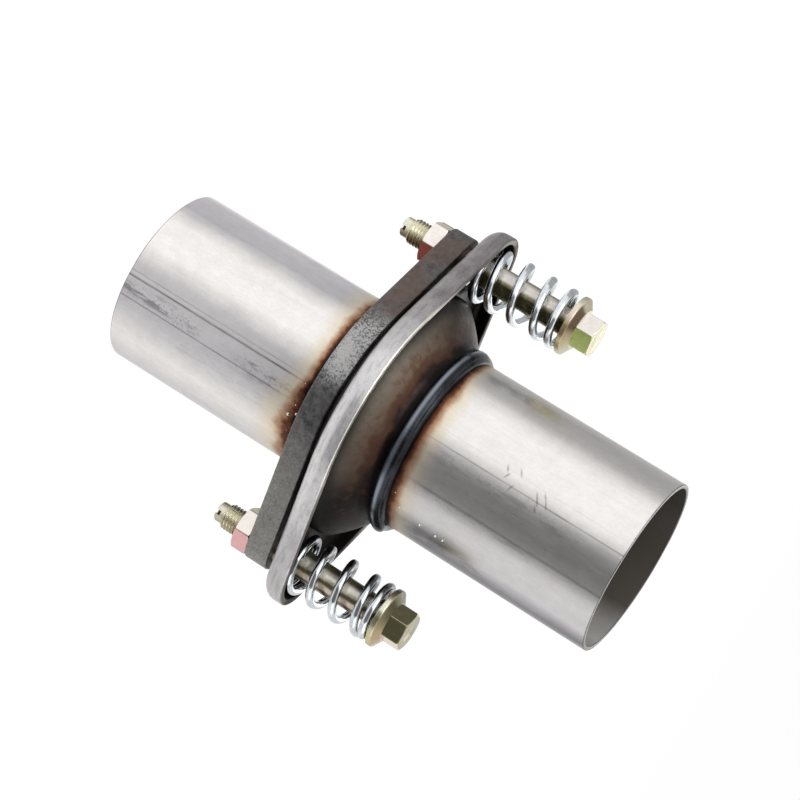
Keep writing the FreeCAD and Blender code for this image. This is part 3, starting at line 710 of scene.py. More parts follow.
# How bright the bowl is by the angle from +X: its left end lies in soot and shadow
BOWL_SHADES = (
    (0, 0.50), (36, 0.80), (64.8, 1.0), (100.8, 0.88), (126, 0.48), (138.6, 0.18), (147.6, 0.04),
    (198, 0.04), (259.2, 0.8), (360, 0.50))


def pressing_finish():
    """Pressed sheet: a pale rim with painted shade towards the bolts and a paler edge as painted
    highlight, pockets in painted shade, and a bowl dark from its bead.
    """
    colours = bpy.context.scene.connector_colours
    finish, tree, shader = new_finish("Pressed sheet")
    place = use(tree, "Place round axis")
    height, angle = place["Height"], place["Angle"]
    parts = add(tree, "ShaderNodeSeparateXYZ", Vector=place["Place"]).outputs
    zones = use(tree, "Rim zones")
    mottle = use(tree, "Mottle", Patch_size=9.0, Tooth_size=0.8, Seed=5.0)
    fine = use(tree, "Mottle", Patch_size=2.6, Tooth_size=0.4, Seed=11.0)
    # The rim: darker towards both bolts, most towards +X, as painted shade, with streaks along it
    streaks = add(
        tree, "ShaderNodeCombineXYZ", X=times(tree, angle, 0.14), Z=times(tree, height, 0.55))
    streak = add(
        tree, "ShaderNodeTexNoise", Vector=streaks.outputs[0], Scale=1.0, Detail=5.0,
        Roughness=0.62).outputs[0]
    shaded_flanks = calc(
        tree, "ADD", fade(tree, parts[0], 5.0, 42.0, 0.0, 0.85),
        fade(tree, parts[0], -34.0, -58.0, 0.0, 0.42))
    shaded_flanks = calc(tree, "ADD", shaded_flanks, swing(tree, mottle["Patches"], 0.8))
    rim = blend_colours(tree, shaded_flanks, colours.rim, colours.rim_shaded)
    rim = tinted(
        tree, rim, ramp(tree, streak, ((0.0, 0.58), (0.42, 0.84), (0.5, 1.0), (1.0, 1.04))))
    rim = tinted(tree, rim, spread(tree, fine["Tooth"], 0.86, 1.05))
    dashes = times(tree, fade(tree, streak, 0.36, 0.30), 0.55)
    rim = blend_colours(tree, dashes, rim, (0.16, 0.14, 0.17))
    # The bowl: its heat tint from the bead down, its stains, and painted shade down to the floor
    # round it
    distance = calc(
        tree, "ADD", calc(tree, "SUBTRACT", NECK_END / MM, height),
        swing(tree, mottle["Patches"], 9.0))
    bowl = ramp(tree, calc(tree, "DIVIDE", distance, BOWL_REACH), [
        (at / BOWL_REACH, colour) for at, colour in BOWL_TINTS])
    bowl = tinted(tree, bowl, ramp_round(tree, angle, BOWL_SHADES))
    stained = times(
        tree, hump(tree, distance, 6.5, 6.0), fade(tree, fine["Patches"], 0.45, 0.65), 0.55)
    bowl = blend_colours(tree, stained, bowl, (0.085, 0.038, 0.024))
    # Painted shade down towards the flange's floor
    bowl = blend_colours(tree, fade(tree, height, *POCKET_SHADE), bowl, colours.pocket_shade)
    both = blend_colours(tree, zones["Outside"], bowl, rim)
    # The rim's edge: a painted highlight in the middle, and painted shade at the ends
    end_edge = blend_colours(
        tree, fade(tree, parts[1], 2.0, -2.0), (0.17, 0.15, 0.14), (0.035, 0.028, 0.026))
    edge = blend_colours(
        tree, fade(tree, calc(tree, "ABSOLUTE", parts[0]), 22.0, 46.0), colours.lip, end_edge)
    both = blend_colours(
        tree, times(tree, zones["Edge"], spread(tree, fine["Patches"], 0.5, 1.0)), both, edge)
    # Painted shade at the bowl's left end: less metal and rougher, so that it renders darker
    shaded_left_end = times(
        tree, fade(tree, parts[0], -24.0, -40.0), fade(tree, zones["Outside"], 0.6, 0.2))
    shader["Specular IOR Level"].default_value = 0.15
    lay_on(
        tree, shader, both, fade(tree, shaded_left_end, 0.0, 1.0, 0.9, 0.2),
        calc(tree, "ADD", spread(tree, fine["Patches"], 0.30, 0.46), times(tree, shaded_left_end, 0.25)),
        mottle["Tooth"], 0.3, 0.00007)
    return finish


def bead_finish():
    """A weld bead under its thin dark blue scale, with a painted highlight along its ridge."""
    colours = bpy.context.scene.connector_colours
    finish, tree, shader = new_finish("Weld bead")
    height = use(tree, "Place round axis")["Height"]
    fine = use(tree, "Mottle", Patch_size=5.0, Tooth_size=0.8, Seed=21.0)
    # The outlet bead is palest along its ridge: a painted highlight
    crown_highlight = hump(tree, height, NECK_END / MM + 1.9, 1.1)
    tone = calc(
        tree, "ADD", times(tree, crown_highlight, 4.2), spread(tree, fine["Patches"], 0.22, 0.62))
    lay_on(
        tree, shader, tinted(tree, colours.bead, tone), 0.9,
        spread(tree, fine["Patches"], 0.22, 0.34), fine["Tooth"], 0.08, 0.00004)
    return finish


def ring_finish():
    """Sintered graphite and steel mesh."""
    colours = bpy.context.scene.connector_colours
    finish, tree, shader = new_finish("Sintered ring")
    fine = use(tree, "Mottle", Patch_size=2.2, Tooth_size=0.6, Seed=31.0)
    colour = blend_colours(
        tree, spread(tree, fine["Tooth"], 0.0, 1.0), colours.ring, (0.11, 0.10, 0.095))
    lay_on(
        tree, shader, colour, 0.4, spread(tree, fine["Patches"], 0.5, 0.7), fine["Tooth"], 0.5,
        0.0001)
    return finish


def paint(red, green, blue):
    """A colour as it looks, from 0 to 255, in the shader's own scale."""
    return tuple(
        value / 12.92 / 255 if value < 10.3 else ((value / 255 + 0.055) / 1.055) ** 2.4
        for value in (red, green, blue))


# Yellow zinc's shades, for its own hues and for painted highlights, reflections and shade
CREAM = paint(252, 248, 225)
ROSE_CREAM = paint(240, 220, 200)
WARM_WHITE = paint(255, 248, 240)
SILVER = paint(208, 202, 172)
GOLD = paint(220, 205, 155)
LIME = paint(196, 212, 132)
PINK = paint(228, 178, 178)
TAN = paint(180, 160, 125)
OLIVE = paint(155, 149, 115)
MID_OLIVE = paint(118, 113, 84)
DARK_OLIVE = paint(78, 74, 50)
BROWN = paint(98, 80, 60)
WINE = paint(158, 88, 82)

# Where each shade lies round the bolts' parts, by the angle from +X: zinc hues with painted
# highlights, reflections and shade
TIP_HUES_AND_PAINTED_LIGHT = {
    "right": (
        (0, MID_OLIVE), (30, MID_OLIVE), (52, CREAM), (100, CREAM), (118, SILVER), (140, TAN),
        (158, BROWN), (200, BROWN), (280, GOLD), (360, MID_OLIVE)),
    "left": (
        (0, MID_OLIVE), (30, MID_OLIVE), (48, CREAM), (90, CREAM), (112, SILVER), (140, SILVER),
        (165, OLIVE), (200, OLIVE), (280, GOLD), (360, MID_OLIVE))}
SHANK_HUES_AND_PAINTED_LIGHT = {
    "right": (
        (0, OLIVE), (32, OLIVE), (44, WARM_WHITE), (82, WARM_WHITE), (92, OLIVE),
        (106, DARK_OLIVE), (150, DARK_OLIVE), (175, OLIVE), (280, GOLD), (330, MID_OLIVE),
        (360, OLIVE)),
    "left": (
        (0, DARK_OLIVE), (50, MID_OLIVE), (64, WARM_WHITE), (92, CREAM), (102, MID_OLIVE),
        (112, MID_OLIVE), (119, ROSE_CREAM), (134, ROSE_CREAM), (146, DARK_OLIVE), (200, SILVER),
        (280, GOLD), (360, DARK_OLIVE))}
FLANGE_HUES_AND_PAINTED_LIGHT = {
    "right": (
        (0, OLIVE), (30, SILVER), (50, CREAM), (84, ROSE_CREAM), (98, TAN), (118, TAN),
        (135, GOLD), (165, SILVER), (280, GOLD), (360, OLIVE)),
    "left": (
        (0, DARK_OLIVE), (28, DARK_OLIVE), (44, TAN), (62, CREAM), (82, CREAM), (100, OLIVE),
        (125, SILVER), (150, GOLD), (175, OLIVE), (280, GOLD), (360, DARK_OLIVE))}
# Behind the flange's edge, where it slopes up to the hexagon
SLOPE_HUES_AND_PAINTED_LIGHT = {
    "right": (
        (0, SILVER), (38, SILVER), (56, BROWN), (104, BROWN), (122, TAN), (165, SILVER),
        (280, GOLD), (360, SILVER)),
    "left": (
        (0, DARK_OLIVE), (60, DARK_OLIVE), (95, MID_OLIVE), (130, TAN), (165, TAN), (280, GOLD),
        (360, DARK_OLIVE))}
# The hexagons' facets, from the one before the first corner, each in its hue and painted light;
# their corners' painted highlights, and the ends' hue and painted light
HEAD_FACET_HUES_AND_PAINTED_LIGHT = {
    "right": (SILVER, WARM_WHITE, LIME, TAN, GOLD, OLIVE),
    "left": (OLIVE, OLIVE, MID_OLIVE, ROSE_CREAM, GOLD, OLIVE)}
HEAD_EDGE_HIGHLIGHTS = {"right": CREAM, "left": SILVER}
HEAD_END_HUES_AND_PAINTED_LIGHT = {"right": SILVER, "left": OLIVE}
NUT_FACET_HUES_AND_PAINTED_LIGHT = {
    "right": (ROSE_CREAM, WARM_WHITE, WINE, TAN, GOLD, OLIVE),
    "left": (OLIVE, WARM_WHITE, PINK, TAN, GOLD, OLIVE)}


# Heights in mm, hidden in the plate, between which the tip's shades give way to the shank's
IN_PLATE = (80.0, 81.0)


def facet_stops(shades, edge, turn):
    """Stops that give each facet of a hexagon its own shade, its hue with painted light, and its
    corners another.
    """
    stops = []
    for facet, shade in enumerate(shades):
        start = turn - 60 + 60 * facet
        stops += [
            (max(0.0, start + 2.0), shade), (start + 58.0, shade), (min(360.0, start + 60.0), edge)]
    return stops


def zinc_surface(tree, shader, shade, metal):
    """Bright zinc under a shade, a little uneven; metal is how much of it mirrors."""
    fine = use(tree, "Mottle", Patch_size=1.8, Tooth_size=0.3, Seed=44.0)
    lay_on(
        tree, shader, tinted(tree, shade, spread(tree, fine["Patches"], 0.90, 1.04)), metal,
        spread(tree, fine["Patches"], 0.20, 0.30), fine["Tooth"], 0.06, 0.00003)


def bolt_finish(side, centre, turn):
    """A bolt's yellow zinc: its hues, with painted highlights, reflections and shade, drift round
    the tip, the shank, the flange and the head.
    """
    finish, tree, shader = new_finish("Bolt zinc " + side)
    place = use(tree, "Place round axis", Axis_X=centre / MM)
    height = place["Height"]
    drift = use(tree, "Mottle", Patch_size=4.0, Tooth_size=1.2, Seed=41.0)
    wandering = calc(tree, "ADD", place["Angle"], swing(tree, drift["Patches"], 16.0))
    tip_end, top = RIGHT_BOLT[0][2] / MM, RIGHT_BOLT[1][2] / MM
    shoulder = PLATE[1][2] / MM
    under_head = shoulder + SHANK_LENGTH / MM
    edge = under_head + HEAD_FLANGE_EDGE / MM
    foot = under_head + HEAD_FLANGE_HEIGHT / MM
    # Painted shade inside the notch at the tip's end
    notch = times(
        tree, fade(tree, place["Radius"], TIP_R / MM - 0.15, TIP_R / MM - 0.5),
        fade(tree, height, tip_end + NOTCH_DEPTH / MM + 0.1, tip_end + 1.7),
        fade(tree, height, tip_end + 0.12, tip_end + 0.3))
    shade = blend_colours(
        tree, notch, ramp_round(tree, wandering, TIP_HUES_AND_PAINTED_LIGHT[side]), DARK_OLIVE)
    facets = facet_stops(HEAD_FACET_HUES_AND_PAINTED_LIGHT[side], HEAD_EDGE_HIGHLIGHTS[side], turn)
    for low, high, above in (
            (*IN_PLATE, ramp_round(tree, wandering, SHANK_HUES_AND_PAINTED_LIGHT[side])),
            (under_head - 0.2, under_head + 0.1, ramp_round(tree, wandering, FLANGE_HUES_AND_PAINTED_LIGHT[side])),
            (edge - 0.35, edge + 0.25, ramp_round(tree, wandering, SLOPE_HUES_AND_PAINTED_LIGHT[side])),
            (foot - 0.15, foot + 0.1, ramp_round(tree, place["Angle"], facets)),
            (top - 0.2, top - 0.06, HEAD_END_HUES_AND_PAINTED_LIGHT[side])):
        shade = blend_colours(tree, fade(tree, height, low, high), shade, above)
    # The shank mirrors less than the rest
    on_shank = times(
        tree, fade(tree, height, shoulder, shoulder + 1.0),
        fade(tree, height, under_head, under_head - 0.2))
    zinc_surface(tree, shader, shade, fade(tree, on_shank, 0.0, 1.0, 0.6, 0.4))
    return finish


def nut_finish(side, centre, turn):
    """A nut's yellow zinc: each facet has its own shade, its hue with painted light."""
    finish, tree, shader = new_finish("Nut zinc " + side)
    angle = use(tree, "Place round axis", Axis_X=centre / MM)["Angle"]
    facets = facet_stops(NUT_FACET_HUES_AND_PAINTED_LIGHT[side], MID_OLIVE, turn)
    zinc_surface(tree, shader, ramp_round(tree, angle, facets), 0.85)
    return finish


# Heights in mm between which the springs darken down to their lowest coils, as painted shade
LOW_COILS = (100.5, 96.0)


def spring_finish(side, centre, tops, tone):
    """Bright zinc on drawn wire, with painted shade over its coils.

    tops is how dark the painted shade is over the coils' +X side and low down, and tone how
    bright the rest of the wire is, lower on the left spring as painted shade."""
    colour = [value * tone for value in bpy.context.scene.connector_colours.spring]
    finish, tree, shader = new_finish("Spring wire " + side)
    fine = use(tree, "Mottle", Patch_size=2.6, Tooth_size=0.4, Seed=51.0)
    place = use(tree, "Place round axis", Axis_X=centre / MM)
    wire = blend_colours(
        tree, spread(tree, fine["Patches"], 0.0, 1.0), [value * 0.8 for value in colour],
        [value * 1.15 for value in colour])
    # Painted shade over the coils' +X side and on the lowest coils
    over = calc(
        tree, "MAXIMUM", fade(tree, place["Angle"], 58.0, 34.0),
        fade(tree, place["Angle"], 300.0, 330.0))
    over = calc(tree, "MAXIMUM", over, fade(tree, place["Height"], *LOW_COILS))
    lay_on(
        tree, shader, blend_colours(tree, times(tree, over, tops), wire, (0.10, 0.105, 0.11)), 1.0,
        spread(tree, fine["Patches"], 0.11, 0.18), fine["Tooth"], 0.10, 0.00003)
    return finish


def spatter_finish():
    """Bright beads of weld metal."""
    finish, tree, shader = new_finish("Weld spatter")
    shader["Base Color"].default_value = (0.82, 0.80, 0.77, 1.0)
    shader["Metallic"].default_value = 1.0
    shader["Roughness"].default_value = 0.25
    return finish


# The pieces

def pipe_rings(low, high, wall, lip, free_end, ripple, seed):
    """Rings of a tube whose ends are softly rounded; its free end is a little uneven."""
    outside, bore = PIPE_R, PIPE_R - wall
    inward = 1 if free_end == low else -1
    shares = (0.02, 0.1, 0.3, 0.5, 0.7, 0.9, 0.98)

    def end_ring(radius, height, end):
        def ring(angle):
            uneven = ripple * (0.5 + 0.5 * wave(angle, seed)) + 0.3 * ripple * (
                0.5 + 0.5 * wave(angle, seed + 1, 6, 11))
            return radius, height + (inward * uneven if end == free_end else 0.0)
        return ring

    def rounding(radius, end, start):
        """A quarter circle round a corner of the wall, from a start angle in degrees."""
        middle = end + lip if end == low else end - lip
        turns = [math.radians(start + 15 * step) for step in range(7)]
        return [
            end_ring(radius + lip * math.cos(turn), middle + lip * math.sin(turn), end)
            for turn in turns]

    rings = rounding(outside - lip, low, -90)
    rings += [(outside, low + (high - low) * share) for share in shares]
    rings += rounding(outside - lip, high, 0) + rounding(bore + lip, high, 90)
    rings += [(bore, low + (high - low) * share) for share in reversed(shares)]
    return rings + rounding(bore + lip, low, 180)


class CONNECTOR_OT_pipes(bpy.types.Operator):
    """Make both pipes: round tube with rounded, slightly uneven cut ends"""
    bl_idname = "connector.pipes"
    bl_label = "Pipes"

    def execute(self, context):
        inlet_finish = tube_finish(
            "Inlet tube", INLET_PAINTED_BANDS, INLET_TINT, INLET_SEAMS, INLET_SMUDGES, (),
            weld_height=PLATE[0][2] - INLET_BEAD, away=-1.0, unevenness=0.24, seed=3.0)
        self.make(
            context, "inlet", INLET_PIPE, inlet_finish, free_end=INLET_PIPE[0][2], seed=3)
        outlet_finish = tube_finish(
            "Outlet tube", OUTLET_PAINTED_BANDS, OUTLET_TINT, OUTLET_SEAMS, OUTLET_SMUDGES, OUTLET_TICKS,
            weld_height=NECK_END + OUTLET_BEAD, away=1.0, unevenness=0.14, seed=9.0)
        self.make(
            context, "outlet", OUTLET_PIPE, outlet_finish, free_end=OUTLET_PIPE[1][2], seed=9)
        return {"FINISHED"}

    def make(self, context, side, box, finish, free_end, seed):
        """One pipe, on the body that has its side's name."""
        sizes = context.scene.connector_sizes
        rings = pipe_rings(
            box[0][2], box[1][2], sizes.pipe_wall, sizes.pipe_lip, free_end, sizes.cut_ripple, seed)
        pipe = mesh_piece(side + "_tube", *turned(rings, even_angles(256), closed=True), finish)
        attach(pipe, side)
        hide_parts(side + "_pipe")


class CONNECTOR_OT_flanges(bpy.types.Operator):
    """Finish the plate, the pressing and the sealing ring, whose CAD shapes stay"""
    bl_idname = "connector.flanges"
    bl_label = "Flanges and ring"

    def execute(self, context):
        finishes = (
            ("inlet_flange", plate_finish()), ("outlet_flange", pressing_finish()),
            ("sealing_ring", ring_finish()))
        for node, finish in finishes:
            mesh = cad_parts[node].data
            mesh.materials.clear()
            mesh.materials.append(finish)
        return {"FINISHED"}


class CONNECTOR_OT_welds(bpy.types.Operator):
    """Make the rippled bead of the outlet and the rough fillet of the inlet"""
    bl_idname = "connector.welds"
    bl_label = "Welds"

    def execute(self, context):
        sizes = context.scene.connector_sizes
        finish = bead_finish()
        self.bead(
            "outlet", (NECK_R, NECK_END), (PIPE_R, NECK_END + OUTLET_BEAD), finish,
            rise=1.5 * MM, count=sizes.bead_ripples, height=sizes.bead_ripple, stop=171,
            lump=1.6 * MM, groove_depth=0.22 * MM)
        self.bead(
            "inlet", (PIPE_R, PLATE[0][2] - INLET_BEAD), (PIPE_R + INLET_BEAD, PLATE[0][2]),
            finish, rise=0.8 * MM, count=90, height=0.16 * MM, stop=300, lump=0.5 * MM,
            groove_depth=0.0)
        return {"FINISHED"}

    def bead(self, side, start, end, finish, rise, count, height, stop, lump, groove_depth):
        """A ring of weld with ripples, a groove, and a lump where the welder stopped."""
        section = arc_points(start, end, rise, 22)
        middle = (Vector(start) + Vector(end)) / 2
        inside = PIPE_R - 0.4 * MM
        stop = math.radians(stop)
        lump_width = math.radians(9.0)

        def ring(index, point):
            share = index / (len(section) - 1)
            arch = math.sin(math.pi * share)
            outward = (point - middle).normalized()

            def place(angle):
                # Ripples trail back at the bead's edges
                phase = count * angle + 2.4 * (share - 0.5) ** 2 * 4
                ripple = height * arch * (abs(math.sin(phase / 2)) - 1)
                sway = 0.12 * MM * arch * (wave(angle, 5, 5, 3) - 1)
                off = (angle - stop + math.pi) % math.tau - math.pi
                late = math.exp(-((share - 0.58) / 0.42) ** 2)
                swell = lump * late * arch * math.exp(-(off / lump_width) ** 2)
                groove = -groove_depth * math.exp(-((share - 0.70) / 0.055) ** 2)
                moved = point + outward * (ripple + sway + swell + groove)
                return moved.x, moved.y + 0.3 * swell
            return place

        rings = [ring(index, point) for index, point in enumerate(section)]
        rings += [(inside, end[1]), (inside, start[1])]
        bead = mesh_piece(
            side + "_bead", *turned(rings, even_angles(900), closed=True), finish, 60.0)
        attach(bead, side)
        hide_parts(side + "_weld")


def hexagon_radius(angle, turn, flats, rounding):
    """Distance from a hexagon's middle to its outline, whose corners are rounded."""
    off = math.radians(abs((math.degrees(angle) - turn + 30) % 60 - 30))
    flat = flats / 2 / math.cos(math.radians(30) - off)
    centre = flats / math.sqrt(3) - rounding / math.cos(math.radians(30))
    aside = centre * math.sin(off)
    if aside >= rounding / 2:
        return flat
    return min(flat, centre * math.cos(off) + math.sqrt(rounding ** 2 - aside ** 2))


def hexagon_side(height, turn, flats, rounding, cap, shrink=0.0):
    """A ring round a hexagon that a bevel keeps within a cap."""
    def ring(angle):
        return min(hexagon_radius(angle, turn, flats, rounding) - shrink, cap), height
    return ring


class CONNECTOR_OT_bolts(bpy.types.Operator):
    """Make both shoulder bolts: notched tip, thread, shank, round flange and hexagon"""
    bl_idname = "connector.bolts"
    bl_label = "Bolts"

    def execute(self, context):
        bolts = (
            ("right", BOLT_X, 37.0, math.radians(110)), ("left", -BOLT_X, 18.0, math.radians(102)))
        for side, centre, turn, notch_turn in bolts:
            finish = bolt_finish(side, centre, turn)
            points, faces = turned(self.rings(context, turn), hexagon_angles(turn), (centre, 0))
            bolt = mesh_piece("shoulder_bolt_" + side, points, faces, finish)
            self.cut_notch(bolt, centre, notch_turn)
            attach(bolt, "inlet")
            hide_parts("bolt_" + side)
        return {"FINISHED"}

    def rings(self, context, turn):
        """Rings from the middle of the tip to the middle of the head's top."""
        sizes = context.scene.connector_sizes
        tip_end = RIGHT_BOLT[0][2]
        head_top = RIGHT_BOLT[1][2]
        thread_start = tip_end + TIP_LENGTH
        shoulder = PLATE[1][2]
        under_head = shoulder + SHANK_LENGTH
        soft = 0.15 * MM
        rings = [
            (0.05 * MM, tip_end), (TIP_R - 0.6 * MM, tip_end),
            (TIP_R - 0.45 * MM, tip_end + 0.06 * MM), (TIP_R - 0.05 * MM, tip_end + 0.45 * MM),
            (TIP_R, tip_end + 0.6 * MM), (TIP_R, thread_start),
            (TIP_R + 0.3 * MM, thread_start)]
        steps_a_pitch = 10
        turns_shown = 6.4
        for step in range(1, int(turns_shown * steps_a_pitch)):
            height = thread_start + step * sizes.thread_pitch / steps_a_pitch
            rings.append(self.thread_ring(sizes, height, thread_start))
        rings += [
            (THREAD_R, thread_start + turns_shown * sizes.thread_pitch),
            (THREAD_R, shoulder), (SHANK_R - soft, shoulder), (SHANK_R, shoulder + soft),
            (SHANK_R, shoulder + 1 * MM), (SHANK_R, under_head - 1 * MM),
            (SHANK_R, under_head - 0.3 * MM), (SHANK_R + 0.3 * MM, under_head)]
        rings += self.flange_rings(under_head)
        return rings + self.hexagon_rings(
            turn, under_head + HEAD_FLANGE_HEIGHT, head_top, sizes.edge_rounding)

    def flange_rings(self, low):
        """The round flange's edge, with both its corners rounded."""
        corner = 0.4 * MM
        rings = []
        for middle, angles in (
                (low + corner, (-90, -60, -30, 0)),
                (low + HEAD_FLANGE_EDGE - corner, (0, 25, 50, 72))):
            for angle in angles:
                turned_by = math.radians(angle)
                rings.append((
                    HEAD_FLANGE_R - corner + corner * math.cos(turned_by),
                    middle + corner * math.sin(turned_by)))
        return rings

    def hexagon_rings(self, turn, foot, top, rounding):
        """The hexagon from its foot to its bevelled and slightly hollow top."""
        corner = HEAD_FLATS / math.sqrt(3)
        rings = [(corner + 0.45 * MM, foot - 0.3 * MM), (corner + 0.12 * MM, foot - 0.02 * MM)]
        levels = [(foot + lift * MM, corner, 0.0) for lift in (0.02, 0.6, 2.6, 4.6)]
        fall = BEVEL * math.tan(math.radians(30))
        for share in (0.0, 0.12, 0.24, 0.36, 0.5, 0.64, 0.76, 0.86, 0.94):
            levels.append((top - fall * (1 - share), corner - BEVEL * share, 0.0))
        levels += [
            (top - 0.02 * MM, corner - BEVEL * 1.02, 0.05 * MM),
            (top, corner - BEVEL * 1.2, 0.22 * MM)]
        for height, cap, shrink in levels:
            rings.append(hexagon_side(height, turn, HEAD_FLATS, rounding, cap, shrink))
        return rings + [
            (3.6 * MM, top), (3.2 * MM, top - 0.12 * MM), (0.05 * MM, top - 0.14 * MM)]

    def thread_ring(self, sizes, height, thread_start):
        """One ring of the thread, whose ridge climbs as it goes round."""
        def ring(angle):
            phase = (height / sizes.thread_pitch - angle / math.tau) % 1.0
            flank = min(1.0, max(0.0, 1.25 * (1 - abs(2 * phase - 1)) - 0.08))
            run_in = min(1.0, (height - thread_start) / (0.9 * MM))
            radius = THREAD_R - sizes.thread_depth * (1 - flank)
            return min(radius, TIP_R + 0.4 * MM + 0.8 * MM * run_in), height
        return ring

    def cut_notch(self, bolt, centre, turn):
        """Cut the notch in the side of the tip's end."""
        low = RIGHT_BOLT[0][2] - 1 * MM
        high = RIGHT_BOLT[0][2] + NOTCH_DEPTH
        along = Vector((math.cos(turn), math.sin(turn), 0))
        aside = Vector((-math.sin(turn), math.cos(turn), 0)) * NOTCH_WIDTH / 2
        middle = Vector((centre, 0, 0))
        corners = [
            middle + along * reach + aside * b + Vector((0, 0, z))
            for reach in (NOTCH_FLOOR, TIP_R + 1 * MM) for b in (-1, 1) for z in (low, high)]
        sides = ((0, 1, 3, 2), (4, 6, 7, 5), (0, 4, 5, 1), (2, 3, 7, 6), (0, 2, 6, 4), (1, 5, 7, 3))
        mesh = bpy.data.meshes.new("notch_cutter")
        mesh.from_pydata(corners, [], sides)
        apply_boolean(bolt, link(bpy.data.objects.new("notch_cutter", mesh)))


def apply_boolean(piece, cutter):
    """Cut one object out of another, for good, and throw the cutter away."""
    cut = piece.modifiers.new("cut", "BOOLEAN")
    cut.operation = "DIFFERENCE"
    cut.solver = "EXACT"
    cut.object = cutter
    with bpy.context.temp_override(object=piece, active_object=piece):
        bpy.ops.object.modifier_move_to_index(modifier=cut.name, index=0)
        bpy.ops.object.modifier_apply(modifier=cut.name)
    spare = cutter.data
    bpy.data.objects.remove(cutter)
    bpy.data.meshes.remove(spare)


class CONNECTOR_OT_nuts(bpy.types.Operator):
    """Make both hexagon nuts"""
    bl_idname = "connector.nuts"
    bl_label = "Nuts"

    def execute(self, context):
        for side, centre, turn in (("right", BOLT_X, 48.0), ("left", -BOLT_X, 45.0)):
            finish = nut_finish(side, centre, turn)
            points, faces = turned(
                self.rings(context, turn), hexagon_angles(turn), (centre, 0), closed=True)
            nut = mesh_piece("hexagon_nut_" + side, points, faces, finish)
            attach(nut, "inlet")
            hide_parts("nut_" + side)
        return {"FINISHED"}

    def rings(self, context, turn):
        """Rings up the outside and down the thread hole."""
        low, high = RIGHT_NUT[0][2], RIGHT_NUT[1][2]
        corner = NUT_FLATS / math.sqrt(3)
        fall = BEVEL * math.tan(math.radians(30))
        rounding = context.scene.connector_sizes.edge_rounding
        soft = 0.02 * MM
        shares = (1.02, 0.94, 0.86, 0.76, 0.64, 0.5, 0.36, 0.24, 0.12, 0.0)
        levels = [(low, corner - BEVEL * 1.2, 0.25 * MM)]
        levels += [
            (low + fall * (1 - share) + soft, corner - BEVEL * share, 0.0) for share in shares]
        levels += [(low + (high - low) * share, corner, 0.0) for share in (0.3, 0.5, 0.7)]
        levels += [
            (high - fall * (1 - share) - soft, corner - BEVEL * share, 0.0)
            for share in reversed(shares)]
        levels.append((high, corner - BEVEL * 1.2, 0.25 * MM))
        sink = 0.6 * MM
        return [
            hexagon_side(height, turn, NUT_FLATS, rounding, cap, shrink)
            for height, cap, shrink in levels] + [
            (NUT_HOLE_R + sink, high), (NUT_HOLE_R, high - sink), (NUT_HOLE_R, low + sink),
            (NUT_HOLE_R + sink, low)]


